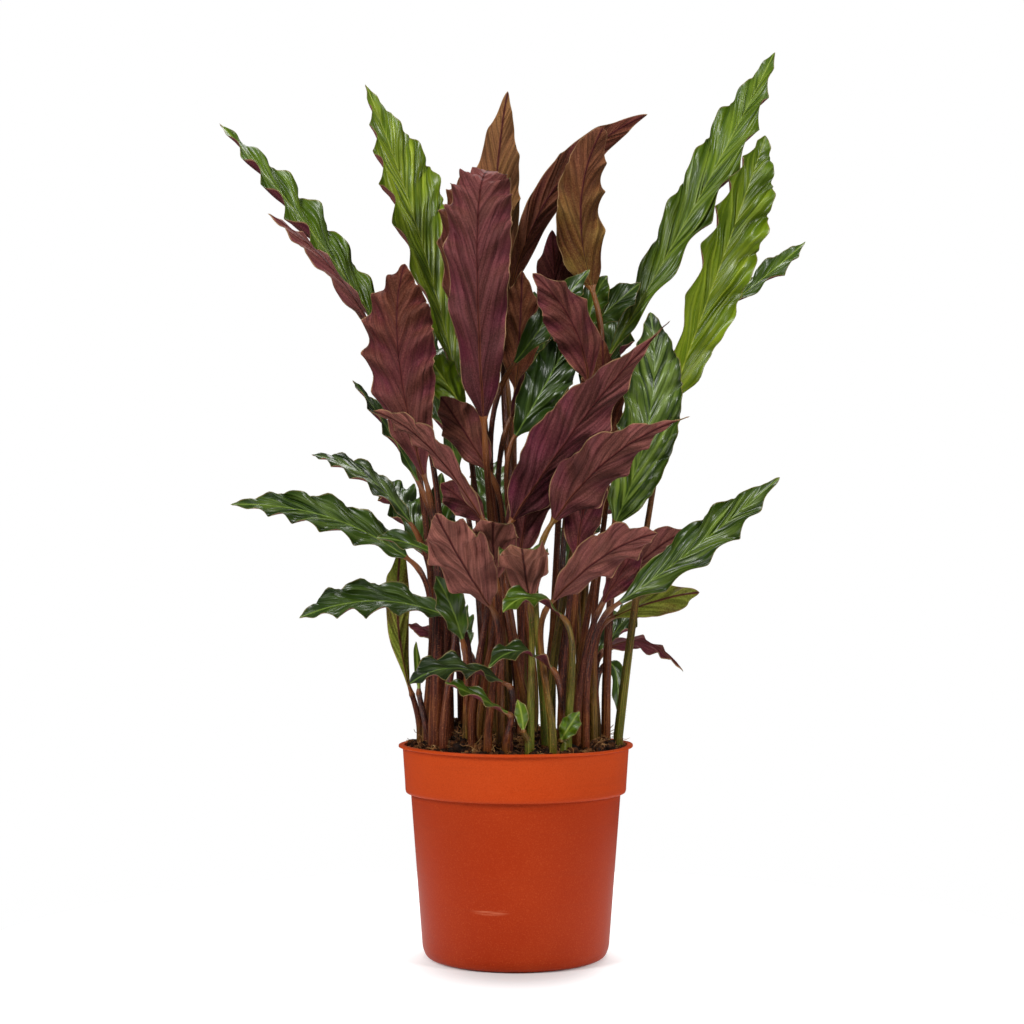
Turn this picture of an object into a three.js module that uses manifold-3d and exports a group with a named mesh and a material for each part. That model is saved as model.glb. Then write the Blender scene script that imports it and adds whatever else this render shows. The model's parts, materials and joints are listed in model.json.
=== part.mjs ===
// Potted velvet calathea: a nursery pot filled with peat and a clump of long wavy leaves.
// Millimetres, +Z up, the pot's axis on Z and its flat bottom on z = 0. The front is seen from -Y.
import * as THREE from "three";
import Module from "manifold-3d";

// Pot
const POT_HEIGHT = 157;
const POT_WALL = 1.3;
const LIP_RADIUS = 87;
const LIP_THICKNESS = 2;
const COLLAR_HEIGHT = 35;
const COLLAR_RADIUS = 82.2;
const COLLAR_TOP_RADIUS = 84;
const BODY_TOP_RADIUS = 77.6;
const BODY_FOOT_RADIUS = 69;
const BASE_RADIUS = 62;
const BASE_THICKNESS = 1.6;
const POT_SIDES = 48;
const DRAIN_HOLES = 8;
const DRAIN_RADIUS = 5;
const DRAIN_CIRCLE = 46;

// Peat
const GAP = 0.3;
const SOIL_LEVEL = 153;
const SOIL_MOUND = 12;
const SOIL_RINGS = 5;
const SOIL_SIDES = 30;
const SOIL_LUMPS = 30;
const SOIL_SEED = 11;
// Heaps against the wall: [x, y, height, width].
const SOIL_HEAPS = [
  [-47, 34, 20, 18],
  [60, 38, 19, 16],
  [6, 48, 10, 22],
  [-38, -44, 6, 12],
  [-20, -40, 7, 18],
  [14, -14, 5, 22],
];
const FOOT_DEPTH = 16;

// Leaves
const BLADE_THICKNESS = 1.1;
const RIB_DEPTH = 0.5;
const VEIN_SLANT = 0.1;
const WAVE_SHARE = 0.12;
const CUP_SHARE = 0.14;
const SCALLOP = -0.06;
const TIP_HALF_WIDTH = 0.7;
const PROFILE = [0.9, 0.75];
const WAVE_REACH = 1.3;
const TIP_TAPER = 0.35;
const TAPER_START = 0.72;
const FOOT_RADIUS = 2.8;
const NECK_RADIUS = 1.8;
const PULVINUS_RADIUS = 2.2;
const FRAME_STEPS = 64;

// One leaf a row: name, foot on the soil [x, y], then the blade's neck, middle and tip [x, y, z],
// width, the way its upper side faces [azimuth from the front, elevation], twist in degrees and
// the waves along each margin. Extras: profile powers, foot radius, cup, wave, turned waves, stalk
// bend [x, y], and the leaf whose sheath it joins.
const LEAVES = [
  ["far_left_tall", [-53, 26], [-89, 38, 447], [-155, 56, 544], [-233, 74, 637], 38, [52, 20], 10, 7,
    { cup: 0.25, turned: 1 }],
  ["left_second", [-60, 6], [-95, 10, 440], [-137, 14, 510], [-188, 18, 556], 18, [230, -25], 0, 5],
  ["left_bright_tall", [-21, 34], [-39, 26, 401], [-73, 46, 540], [-118, 70, 667], 54, [38, 12], 0, 8,
    { cup: 0.34, wave: 0.06, profile: [1.5, 1.0], turned: 1 }],
  ["back_centre_tall", [-6, 52], [-8, 62, 441], [-16, 70, 556], [-6, 76, 663], 38, [176, 5], 0, 5],
  ["centre_tall_purple", [-9, -34], [-23, -30, 387], [-28, -32, 534], [-19, -6, 583], 50, [172, 10], 0, 7,
    { profile: [0.55, 0.5], foot: 5 }],
  ["centre_left_behind", [-18, 6], [-26, 8, 414], [-39, 12, 518], [-35, 24, 586], 40, [168, 5], 0, 6,
    { profile: [0.9, 0.5] }],
  ["right_centre_olive", [25, 12], [59, 15, 494], [49, 14, 562], [66, 12, 620], 37, [196, 0], 0, 4,
    { profile: [0.35, 0.5] }],
  ["centre_diagonal", [10, 40], [-5, 46, 494], [32, 46, 583], [102, 46, 638], 27, [200, -8], 0, 4],
  ["right_tall_green", [52, 42], [69, 42, 446], [144, 62, 578], [206, 88, 697], 40, [-28, 12], 0, 7,
    { profile: [0.95, 0.7] }],
  ["right_bright", [76, -4], [114, 8, 407], [160, 16, 531], [191, 30, 618], 48, [35, 12], 0, 7,
    { bend: [10, 0], cup: 0.32, wave: 0.07, profile: [0.6, 0.62] }],
  ["far_right_small", [68, 21], [145, 56, 476], [196, 68, 516], [229, 82, 545], 22, [-30, 35], 60, 4,
    { turned: 1, profile: [0.9, 1.1] }],
  ["right_centre_dark", [27, 39], [34, 43, 458], [31, 41, 500], [28, 38, 547], 30, [180, 0], 0, 3],
  ["centre_curl", [39, -20], [53, -24, 421], [42, -36, 464], [12, -48, 501], 36, [190, -5], 20, 4],
  ["centre_green_a", [5, -3], [-3, -5, 437], [26, -9, 475], [55, -13, 509], 24, [-12, 20], 0, 4],
  ["centre_green_b", [45, 20], [55, 26, 465], [59, 26, 490], [70, 26, 510], 22, [0, 10], 0, 3,
    { bend: [8, 5] }],
  ["right_purple_upper", [9, -50], [-6, -50, 317], [52, -58, 400], [110, -70, 464], 48, [196, 8], 0, 6,
    { profile: [1.0, 2.0], wave: 0.16 }],
  ["right_purple_lower", [21, -58], [24, -60, 317], [68, -74, 367], [122, -92, 394], 42, [196, 15], 0, 5,
    { profile: [0.9, 1.8], wave: 0.16 }],
  ["right_dark_wide", [57, -16], [71, -12, 316], [99, -13, 399], [100, -7, 478], 45, [8, 10], 0, 7,
    { profile: [0.6, 0.6] }],
  ["right_long_low", [50, -48], [71, -46, 260], [128, -58, 302], [187, -76, 352], 33, [-15, 30], 0, 5,
    { cup: 0.06, turned: 1 }],
  ["right_olive_low", [61, 10], [72, 12, 250], [108, 16, 263], [139, 22, 269], 23, [185, -20], 0, 2],
  ["right_low_thin", [62, 30], [68, 36, 225], [102, 58, 229], [131, 74, 206], 18, [180, -50], 0, 4,
    { profile: [0.9, 1.1] }],
  ["right_front_purple", [26, -68], [24, -70, 262], [61, -86, 296], [98, -106, 312], 33, [190, 20], 0, 4,
    { wave: 0.14 }],
  ["front_right_orange", [10, -68], [10, -72, 262], [6, -96, 288], [4, -126, 301], 36, [180, 30], 0, 3,
    { profile: [0.8, 0.4] }],
  ["front_left_purple", [-20, -67], [-17, -71, 259], [-37, -95, 291], [-55, -122, 325], 44, [170, 20], 0, 4,
    { wave: 0.14 }],
  ["front_centre_purple", [-11, -58], [-14, -60, 279], [-16, -74, 299], [-16, -94, 320], 36, [180, 20], 0, 3,
    { profile: [0.8, 0.4] }],
  ["left_purple", [-58, -30], [-65, -28, 348], [-86, -26, 445], [-82, -14, 513], 54, [170, 8], 0, 7,
    { profile: [0.95, 0.75], foot: 5.6 }],
  ["left_curl", [-31, -54], [-21, -54, 318], [-61, -58, 374], [-102, -66, 400], 22, [160, 52], 0, 5,
    { bend: [-4, -1] }],
  ["left_dark_curl", [-49, -4], [-71, -4, 348], [-96, 4, 392], [-123, 12, 429], 18, [60, 15], 0, 4],
  ["left_grey_thin", [-57, 18], [-77, 14, 318], [-112, 22, 356], [-156, 34, 374], 22, [20, 50], 0, 5,
    { turned: 1 }],
  ["left_long", [-66, -14], [-77, -8, 292], [-138, -16, 325], [-209, -28, 334], 31, [0, 38], 0, 6,
    { cup: 0.22, profile: [0.65, 0.75] }],
  ["left_small_green", [-52, -51], [-55, -50, 296], [-79, -60, 306], [-99, -70, 309], 18, [0, 50], 0, 2],
  ["left_low", [-36, -37], [-46, -42, 251], [-100, -54, 264], [-154, -70, 252], 32, [0, 45], 0, 5,
    { cup: 0.24 }],
  ["left_olive", [-71, 2], [-78, 4, 195], [-88, 8, 247], [-86, 14, 305], 19, [180, 0], 0, 2,
    { profile: [1.3, 0.7] }],
  ["front_low_dark", [-5, -68], [-6, -74, 205], [-43, -98, 218], [-73, -118, 208], 28, [0, 60], 0, 4],
  ["front_drip", [33, -48], [26, -72, 216], [3, -98, 230], [-19, -116, 219], 22, [0, 65], 0, 3],
  ["front_bright", [37, -58], [33, -78, 253], [10, -98, 267], [-9, -114, 257], 24, [0, 60], 0, 3],
  ["right_brown_behind", [43, -4], [68, 2, 358], [66, 4, 407], [65, 6, 459], 38, [196, 5], 0, 4],
  ["mid_shade_a", [3, -30], [4, -34, 292], [10, -36, 337], [31, -40, 397], 32, [178, 5], 0, 4],
  ["mid_shade_b", [33, -32], [43, -34, 292], [50, -36, 337], [58, -36, 388], 32, [178, 5], 0, 4],
  ["left_yellow_curl", [-26, 18], [-37, 6, 404], [-54, 0, 429], [-67, -4, 448], 28, [-20, 10], 0, 4],
  ["centre_left_brown", [-23, -16], [-19, -12, 358], [-38, -10, 389], [-56, -8, 415], 32, [165, 5], 0, 3],
  ["centre_left_low", [-27, -40], [-22, -41, 321], [-39, -40, 337], [-55, -38, 349], 24, [180, 5], 0, 3],
  ["right_mid_purple", [47, -25], [71, -24, 273], [99, -26, 299], [124, -28, 315], 26, [196, 10], 0, 3],
  ["right_mid_twist", [44, -36], [63, -34, 261], [77, -38, 285], [90, -40, 307], 24, [150, 30], 60, 3],
  ["centre_dark_green", [12, -18], [-2, -20, 382], [22, -21, 423], [46, -20, 468], 34, [5, 10], 0, 5,
    { bend: [10, 0] }],
  ["centre_brown", [6, 22], [0, 24, 420], [3, 26, 467], [5, 28, 514], 32, [182, 0], 0, 5],
  ["left_back_dark", [-41, 30], [-52, 42, 271], [-59, 46, 316], [-57, 50, 361], 28, [20, 5], 0, 3],
  ["rear_left_high", [-24, 54], [-44, 88, 360], [-66, 120, 440], [-84, 160, 498], 42, [45, 25], 0, 6],
  ["rear_centre_high", [10, 58], [14, 92, 400], [24, 124, 474], [32, 168, 524], 44, [-6, 25], 0, 6],
  ["rear_right_high", [36, 50], [48, 80, 372], [74, 110, 452], [92, 148, 514], 42, [-45, 25], 0, 6],
  ["rear_left_mid", [-40, 44], [-62, 80, 280], [-88, 116, 334], [-108, 158, 362], 40, [40, 40], 0, 6],
  ["rear_centre_mid", [-8, 67], [-10, 98, 296], [-16, 142, 350], [-20, 192, 376], 42, [4, 45], 0, 6],
  ["rear_right_mid", [24, 62], [38, 98, 280], [60, 140, 330], [78, 186, 352], 42, [-44, 45], 0, 6],
  ["rear_left_low", [-24, 66], [-36, 98, 220], [-54, 136, 250], [-66, 178, 252], 36, [45, 60], 0, 5],
  ["rear_right_low", [46, 58], [64, 88, 212], [88, 118, 246], [106, 152, 252], 36, [-45, 60], 0, 5],
  ["left_thin_purple", [-41, 34], [-48, 34, 225], [-67, 44, 238], [-83, 54, 244], 12, [180, -50], 0, 3,
    { joins: "left_back_dark" }],
  ["front_low_second", [-7, -70], [-5, -82, 185], [-28, -102, 199], [-49, -114, 209], 20, [0, 60], 0, 3,
    { joins: "front_low_dark" }],
  ["base_young_right", [34, -60], [32, -62, 165], [38, -66, 175], [45, -70, 186], 14, [0, 10], 0, 3,
    { joins: "front_bright" }],
  ["base_young_left", [9, -71], [5, -75, 173], [4, -77, 184], [1, -79, 195], 10, [0, 10], 0, 2,
    { joins: "front_right_orange" }],
  ["left_green_upright", [-36, -42], [-38, -58, 235], [-46, -67, 260], [-57, -76, 282], 22, [15, 15], 0, 3,
    { joins: "left_low" }],
  ["right_droop_small", [61, 33], [70, 44, 214], [77, 40, 206], [78, 36, 173], 14, [30, 20], 0, 2,
    { joins: "right_low_thin" }],
  ["right_green_small", [46, 23], [53, 32, 468], [74, 38, 488], [96, 44, 507], 24, [0, 20], 0, 3,
    { joins: "centre_green_b", bend: [14, 3] }],
  ["spear_left", [-65, -18], [-71, -26, 198], [-72, -27, 217], [-73, -28, 234], 5, [0, 0], 0, 1,
    { joins: "left_long" }],
  ["centre_olive_young", [3, 0], [-4, 2, 399], [7, 0, 422], [19, -2, 445], 14, [180, 0], 0, 2,
    { joins: "centre_green_a" }],
];

const wasm = await Module();
wasm.setup();
const { Manifold } = wasm;

// A seeded sequence of numbers from 0 to 1.
function randomFrom(seed) {
  let state = seed;
  return () => {
    state = (state * 16807) % 2147483647;
    return state / 2147483647;
  };
}

function geometryFrom(points, triangles) {
  const geometry = new THREE.BufferGeometry();
  geometry.setAttribute("position", new THREE.Float32BufferAttribute(points.flat(), 3));
  geometry.setIndex(triangles.flat());
  return geometry;
}

function solidFrom(points, triangles) {
  return new Manifold(
    new wasm.Mesh({
      numProp: 3,
      vertProperties: new Float32Array(points.flat()),
      triVerts: new Uint32Array(triangles.flat()),
    }),
  );
}

function geometryOf(solid) {
  const mesh = solid.getMesh();
  const geometry = new THREE.BufferGeometry();
  const points = new Float32Array(mesh.numVert * 3);
  for (let i = 0; i < mesh.numVert; i += 1) {
    points.set(mesh.vertProperties.subarray(i * mesh.numProp, i * mesh.numProp + 3), i * 3);
  }
  geometry.setAttribute("position", new THREE.BufferAttribute(points, 3));
  geometry.setIndex(new THREE.BufferAttribute(mesh.triVerts, 1));
  return geometry;
}

// A solid of revolution from a profile [radius, z] that starts and ends on the axis.
function lathe(profile, sides) {
  const points = [[0, 0, profile[0][1]]];
  const inner = profile.slice(1, -1);
  inner.forEach(([radius, z]) => {
    for (let k = 0; k < sides; k += 1) {
      const a = (2 * Math.PI * k) / sides;
      points.push([radius * Math.cos(a), radius * Math.sin(a), z]);
    }
  });
  points.push([0, 0, profile[profile.length - 1][1]]);
  const last = points.length - 1;
  const at = (ring, k) => 1 + ring * sides + (k % sides);
  const triangles = [];
  for (let k = 0; k < sides; k += 1) {
    triangles.push([0, at(0, k + 1), at(0, k)]);
    for (let ring = 0; ring < inner.length - 1; ring += 1) {
      triangles.push([at(ring, k), at(ring, k + 1), at(ring + 1, k + 1)]);
      triangles.push([at(ring, k), at(ring + 1, k + 1), at(ring + 1, k)]);
    }
    triangles.push([last, at(inner.length - 1, k), at(inner.length - 1, k + 1)]);
  }
  return { points, triangles };
}

const COLLAR_BOTTOM = POT_HEIGHT - COLLAR_HEIGHT;

// The pot's outside from the bottom's edge up to the collar's top.
const OUTSIDE = [
  [BASE_RADIUS, 0],
  [BASE_RADIUS + 4.4, 1.6],
  [BODY_FOOT_RADIUS, 7.5],
  [BODY_TOP_RADIUS, COLLAR_BOTTOM - 5],
  [BODY_TOP_RADIUS + 1.2, COLLAR_BOTTOM - 1],
  [BODY_TOP_RADIUS + 3.4, COLLAR_BOTTOM + 1.5],
  [COLLAR_RADIUS - 0.6, COLLAR_BOTTOM + 4.5],
  [COLLAR_RADIUS, COLLAR_BOTTOM + 9],
  [COLLAR_TOP_RADIUS, POT_HEIGHT - LIP_THICKNESS],
];

function potGeometry() {
  const inside = OUTSIDE.slice(2).reverse();
  const profile = [
    [0, 0],
    ...OUTSIDE,
    [LIP_RADIUS, POT_HEIGHT - LIP_THICKNESS],
    [LIP_RADIUS, POT_HEIGHT - 0.5],
    [LIP_RADIUS - 0.5, POT_HEIGHT],
    [COLLAR_TOP_RADIUS - POT_WALL, POT_HEIGHT],
    ...inside.slice(1).map(([radius, z]) => [radius - POT_WALL, z + 0.4]),
    [BASE_RADIUS + 2.6, BASE_THICKNESS + 1.4],
    [BASE_RADIUS - 1, BASE_THICKNESS],
    [0, BASE_THICKNESS],
  ];
  const shell = lathe(profile, POT_SIDES);
  const holes = Array.from({ length: DRAIN_HOLES }, (_, k) => {
    const a = (2 * Math.PI * (k + 0.5)) / DRAIN_HOLES;
    return Manifold.cylinder(8, DRAIN_RADIUS, DRAIN_RADIUS, 10).translate([
      DRAIN_CIRCLE * Math.cos(a),
      DRAIN_CIRCLE * Math.sin(a),
      -3,
    ]);
  });
  return geometryOf(solidFrom(shell.points, shell.triangles).subtract(Manifold.union(holes)));
}

// The peat's lumps: seeded places, heights and widths.
const soilRandom = randomFrom(SOIL_SEED);
const LUMPS = Array.from({ length: SOIL_LUMPS }, () => {
  const radius = 74 * Math.sqrt(soilRandom());
  const angle = 2 * Math.PI * soilRandom();
  return {
    x: radius * Math.cos(angle),
    y: radius * Math.sin(angle),
    height: 1.5 + 4.5 * soilRandom(),
    width: 5 + 7 * soilRandom(),
  };
});
SOIL_HEAPS.forEach(([x, y, height, width]) => LUMPS.push({ x, y, height, width }));

function soilHeight(x, y, edge) {
  const share = Math.hypot(x, y) / edge;
  const lumps = LUMPS.reduce((sum, lump) => {
    const d = ((x - lump.x) ** 2 + (y - lump.y) ** 2) / lump.width ** 2;
    return sum + lump.height * Math.exp(-d);
  }, 0);
  return SOIL_LEVEL + (SOIL_MOUND * 0.6 + lumps) * (1 - share ** 4) * 0.8;
}

function soilSolid() {
  const edge = COLLAR_TOP_RADIUS - POT_WALL - GAP - 0.4;
  const wall = OUTSIDE.slice(2, -1).map(([radius, z]) => [radius - POT_WALL - GAP, z + 0.4]);
  const top = Array.from({ length: SOIL_RINGS }, (_, k) => [(edge * (SOIL_RINGS - k)) / SOIL_RINGS, 0]);
  const profile = [
    [0, BASE_THICKNESS + GAP],
    [BASE_RADIUS - 1.5, BASE_THICKNESS + GAP],
    [BASE_RADIUS + 2, BASE_THICKNESS + GAP + 1.4],
    ...wall,
    ...top,
    [0, 0],
  ];
  const topStart = 1 + (wall.length + 2) * SOIL_SIDES;
  const shell = lathe(profile, SOIL_SIDES);
  shell.points.forEach((point, k) => {
    if (k >= topStart) {
      point[2] = soilHeight(point[0], point[1], edge);
    }
  });
  return solidFrom(shell.points, shell.triangles);
}

const vector = (p) => new THREE.Vector3(p[0], p[1], p[2]);

function facing([azimuth, elevation]) {
  const a = THREE.MathUtils.degToRad(azimuth);
  const e = THREE.MathUtils.degToRad(elevation);
  return new THREE.Vector3(Math.sin(a) * Math.cos(e), -Math.cos(a) * Math.cos(e), Math.sin(e));
}

const across = (direction, tangent) =>
  direction.clone().addScaledVector(tangent, -direction.dot(tangent)).normalize();

// Half the blade's width as a share of its greatest, at station s from neck (0) to tip (1).
// Where the fall is slow the tip is drawn out.
function halfWidthShare(s, [rise, fall]) {
  const peak = rise / (rise + fall);
  const late = Math.min(Math.max((s - TAPER_START) / (1 - TAPER_START), 0), 1);
  const taper = fall > 0.55 ? 1 - TIP_TAPER * late * late * (3 - 2 * late) : 1;
  return (taper * s ** rise * (1 - s) ** fall) / (peak ** rise * (1 - peak) ** fall);
}

// The midrib's points with their tangents and upper-side normals, from neck to tip.
function bladeFrames(neck, middle, tip, face, twist) {
  const control = middle.clone().multiplyScalar(2).addScaledVector(neck, -0.5).addScaledVector(tip, -0.5);
  const frames = [];
  for (let k = 0; k <= FRAME_STEPS; k += 1) {
    const t = k / FRAME_STEPS;
    const place = neck
      .clone()
      .multiplyScalar((1 - t) ** 2)
      .addScaledVector(control, 2 * t * (1 - t))
      .addScaledVector(tip, t * t);
    const tangent = control
      .clone()
      .sub(neck)
      .multiplyScalar(1 - t)
      .addScaledVector(tip.clone().sub(control), t)
      .normalize();
    frames.push({ place, tangent, normal: new THREE.Vector3() });
  }
  const half = FRAME_STEPS / 2;
  frames[half].normal = across(facing(face), frames[half].tangent);
  for (let k = half + 1; k <= FRAME_STEPS; k += 1) {
    frames[k].normal = across(frames[k - 1].normal, frames[k].tangent);
  }
  for (let k = half - 1; k >= 0; k -= 1) {
    frames[k].normal = across(frames[k + 1].normal, frames[k].tangent);
  }
  frames.forEach((frame, k) => {
    const turn = THREE.MathUtils.degToRad(twist) * (k / FRAME_STEPS - 0.5);
    frame.normal.applyAxisAngle(frame.tangent, turn);
  });
  return frames;
}

function frameAt(frames, station) {
  const x = Math.min(Math.max(station, 0), 1) * FRAME_STEPS;
  const k = Math.min(Math.floor(x), FRAME_STEPS - 1);
  const mix = (key) => frames[k][key].clone().lerp(frames[k + 1][key], x - k);
  const tangent = mix("tangent").normalize();
  return { place: mix("place"), tangent, normal: across(mix("normal"), tangent) };
}

// The stalk's line from the soil to the neck, where it runs on into the midrib.
function stalkFrames(foot, neck, start, bend) {
  const base = new THREE.Vector3(foot[0], foot[1], SOIL_LEVEL + 10);
  const reach = base.distanceTo(neck);
  const low = base.clone().add(new THREE.Vector3(bend[0], bend[1], reach * 0.35));
  const high = neck
    .clone()
    .addScaledVector(start.tangent, -reach * 0.25)
    .add(new THREE.Vector3(bend[0], bend[1], 0));
  const curve = new THREE.CubicBezierCurve3(base, low, high, neck);
  const frames = [];
  let normal = start.normal;
  [0.94, 0.86, 0.62, 0.36, 0.12].forEach((t) => {
    const tangent = curve.getTangent(t);
    normal = across(normal, tangent);
    frames.push({ place: curve.getPoint(t), tangent, normal, share: t });
  });
  const up = new THREE.Vector3(0, 0, 1);
  normal = across(normal, up);
  frames.push({ place: base, tangent: up, normal, share: 0 });
  const root = new THREE.Vector3(foot[0], foot[1], SOIL_LEVEL - FOOT_DEPTH);
  frames.push({ place: root, tangent: up, normal, share: 0 });
  return frames.reverse();
}

const STALK_ANGLES = [150, 90, 30, -30, -90, -150].map(THREE.MathUtils.degToRad);

// Six points round a stalk, in the order of a blade ring: left, middle and right above, then below.
function stalkRing(frame, radius) {
  const side = frame.tangent.clone().cross(frame.normal);
  return STALK_ANGLES.map((a) =>
    frame.place
      .clone()
      .addScaledVector(side, radius * Math.cos(a))
      .addScaledVector(frame.normal, radius * Math.sin(a))
      .toArray(),
  );
}

// A point on the blade's middle surface: q along it and v across it, from -1 to 1.
function bladePoint(leaf, q, v) {
  const station = Math.min(1, q + VEIN_SLANT * Math.abs(v) * Math.sin(Math.PI * q));
  const frame = frameAt(leaf.frames, station);
  const side = frame.tangent.clone().cross(frame.normal);
  const share = halfWidthShare(station, leaf.profile);
  const half = Math.max((leaf.width / 2) * share, TIP_HALF_WIDTH);
  const angle = 2 * Math.PI * leaf.waves * q + (v < 0 ? Math.PI : 0) + leaf.phase;
  const beat = Math.cos(angle);
  const lobe = 2 * Math.sqrt(Math.cos(angle / 2) ** 2 + 0.03) - 1;
  const ends = share ** 0.8;
  const lift = leaf.wave * leaf.width * ends * beat * Math.abs(v) ** WAVE_REACH + leaf.cup * half * v * v;
  return frame.place
    .clone()
    .addScaledVector(side, v * half * (1 + SCALLOP * lobe * Math.abs(v)))
    .addScaledVector(frame.normal, lift);
}

function bladeRing(leaf, q) {
  const middle = frameAt(leaf.frames, q);
  const above = [-1, 0, 1].map((v) => bladePoint(leaf, q, v));
  const shifted = (p, by) => p.clone().addScaledVector(middle.normal, by).toArray();
  const half = BLADE_THICKNESS / 2;
  return [
    shifted(above[0], half),
    shifted(above[1], half),
    shifted(above[2], half),
    shifted(above[2], -half),
    shifted(above[1], -half - RIB_DEPTH),
    shifted(above[0], -half),
  ];
}

function leafSolid(row, index) {
  const [name, foot, neckAt, middleAt, tipAt, width, face, twist, waves, extra = {}] = row;
  const neck = vector(neckAt);
  const frames = bladeFrames(neck, vector(middleAt), vector(tipAt), face, twist);
  const leaf = {
    frames,
    width,
    waves,
    profile: extra.profile || PROFILE,
    cup: extra.cup ?? CUP_SHARE,
    wave: extra.wave ?? WAVE_SHARE,
    phase: (index % 2 ? Math.PI : 0) + (extra.turned ? Math.PI : 0),
  };
  const footRadius = extra.foot || FOOT_RADIUS;
  const stalk = stalkFrames(foot, neck, frames[0], extra.bend || [0, 0]);
  const rings = stalk.map((frame) => {
    const even = footRadius + (NECK_RADIUS - footRadius) * frame.share;
    const swell = frame.share > 0.85 ? PULVINUS_RADIUS : even;
    return stalkRing(frame, swell);
  });
  rings.push(stalkRing({ ...frames[0] }, NECK_RADIUS));
  const steps = 2 * waves;
  for (let k = 1; k <= steps; k += 1) {
    rings.push(bladeRing(leaf, k / steps));
  }
  const points = rings.flat();
  const triangles = [];
  const quad = (a, b, c, d, turned) =>
    turned ? triangles.push([a, b, d], [b, c, d]) : triangles.push([a, b, c], [a, c, d]);
  for (let ring = 0; ring < rings.length - 1; ring += 1) {
    const p = ring * 6;
    const n = p + 6;
    quad(p, p + 1, n + 1, n, false);
    quad(p + 1, p + 2, n + 2, n + 1, true);
    quad(p + 2, p + 3, n + 3, n + 2, false);
    quad(p + 3, p + 4, n + 4, n + 3, false);
    quad(p + 4, p + 5, n + 5, n + 4, true);
    quad(p + 5, p, n, n + 5, false);
  }
  const end = (rings.length - 1) * 6;
  const cap = (o) => [[o, o + 5, o + 1], [o + 5, o + 4, o + 1], [o + 1, o + 4, o + 2], [o + 4, o + 3, o + 2]];
  cap(0).forEach(([a, b, c]) => triangles.push([a, b, c]));
  cap(end).forEach(([a, b, c]) => triangles.push([a, c, b]));
  const away = face[0] > 90 && face[0] < 270;
  return { name, points, triangles, footRadius, root: stalk[0], away, joins: extra.joins };
}

const group = new THREE.Group();
group.name = "potted_velvet_calathea";

const terracotta = new THREE.MeshStandardMaterial({ color: 0xb9502c, roughness: 0.55 });
const peat = new THREE.MeshStandardMaterial({ color: 0x2c211b, roughness: 0.95 });
const green = new THREE.MeshStandardMaterial({ color: 0x4f7a2a, roughness: 0.45 });
const wine = new THREE.MeshStandardMaterial({ color: 0x5a2630, roughness: 0.85 });

function add(name, geometry, material) {
  const mesh = new THREE.Mesh(geometry, material);
  mesh.name = name;
  group.add(mesh);
}

const leaves = LEAVES.map(leafSolid);
const holes = leaves.map((leaf) => {
  const ring = stalkRing(leaf.root, leaf.footRadius + GAP / Math.cos(Math.PI / 6));
  const low = ring.map(([x, y, z]) => [x, y, z - GAP]);
  const high = ring.map(([x, y]) => [x, y, SOIL_LEVEL + 40]);
  const floor = [[0, 5, 1], [5, 4, 1], [1, 4, 2], [4, 3, 2]];
  const sides = Array.from({ length: 6 }, (_, k) => k).flatMap((k) => {
    const n = (k + 1) % 6;
    return [[k, n, n + 6], [k, n + 6, k + 6]];
  });
  const lid = floor.map(([a, b, c]) => [a + 6, c + 6, b + 6]);
  return solidFrom([...low, ...high], [...floor, ...sides, ...lid]);
});

add("pot", potGeometry(), terracotta);
add("soil", geometryOf(soilSolid().subtract(Manifold.union(holes))), peat);
leaves.forEach((leaf) => {
  if (leaf.joins) {
    return;
  }
  const young = leaves.filter((other) => other.joins === leaf.name);
  const shape = young.length
    ? geometryOf(Manifold.union([leaf, ...young].map((one) => solidFrom(one.points, one.triangles))))
    : geometryFrom(leaf.points, leaf.triangles);
  add(leaf.name, shape, leaf.away ? wine : green);
});

export default group;
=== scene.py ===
"""Potted velvet calathea, dressed: fine wavy leaves on round hairy stalks, peat and a moulded pot."""
import json
import math

import bpy
import numpy as np
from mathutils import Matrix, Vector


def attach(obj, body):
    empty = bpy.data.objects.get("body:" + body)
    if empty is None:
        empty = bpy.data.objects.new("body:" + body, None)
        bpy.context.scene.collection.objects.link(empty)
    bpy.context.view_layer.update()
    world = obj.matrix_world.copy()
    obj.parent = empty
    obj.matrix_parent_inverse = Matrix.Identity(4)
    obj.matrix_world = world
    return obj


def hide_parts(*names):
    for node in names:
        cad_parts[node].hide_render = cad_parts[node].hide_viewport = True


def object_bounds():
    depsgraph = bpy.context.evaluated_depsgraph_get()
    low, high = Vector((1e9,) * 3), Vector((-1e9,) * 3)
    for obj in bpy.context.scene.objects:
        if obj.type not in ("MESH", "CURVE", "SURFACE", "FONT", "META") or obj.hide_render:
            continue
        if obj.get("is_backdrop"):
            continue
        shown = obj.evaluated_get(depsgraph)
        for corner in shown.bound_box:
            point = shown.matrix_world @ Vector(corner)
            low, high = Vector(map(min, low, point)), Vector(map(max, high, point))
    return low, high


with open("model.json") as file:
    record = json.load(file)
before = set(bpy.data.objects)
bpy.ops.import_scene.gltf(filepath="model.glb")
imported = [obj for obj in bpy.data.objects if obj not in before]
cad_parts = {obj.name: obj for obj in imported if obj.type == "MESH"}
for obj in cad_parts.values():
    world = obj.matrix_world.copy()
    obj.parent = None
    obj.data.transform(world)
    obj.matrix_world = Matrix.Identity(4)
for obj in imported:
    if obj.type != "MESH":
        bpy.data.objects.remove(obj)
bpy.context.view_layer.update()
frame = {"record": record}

MM = 0.001

# Camera, fitted to the photograph
CAMERA_PLACE = (-2.8, -1500.0, 290.0)
CAMERA_PITCH = 1.5
CAMERA_LENS = 70.73

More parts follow.
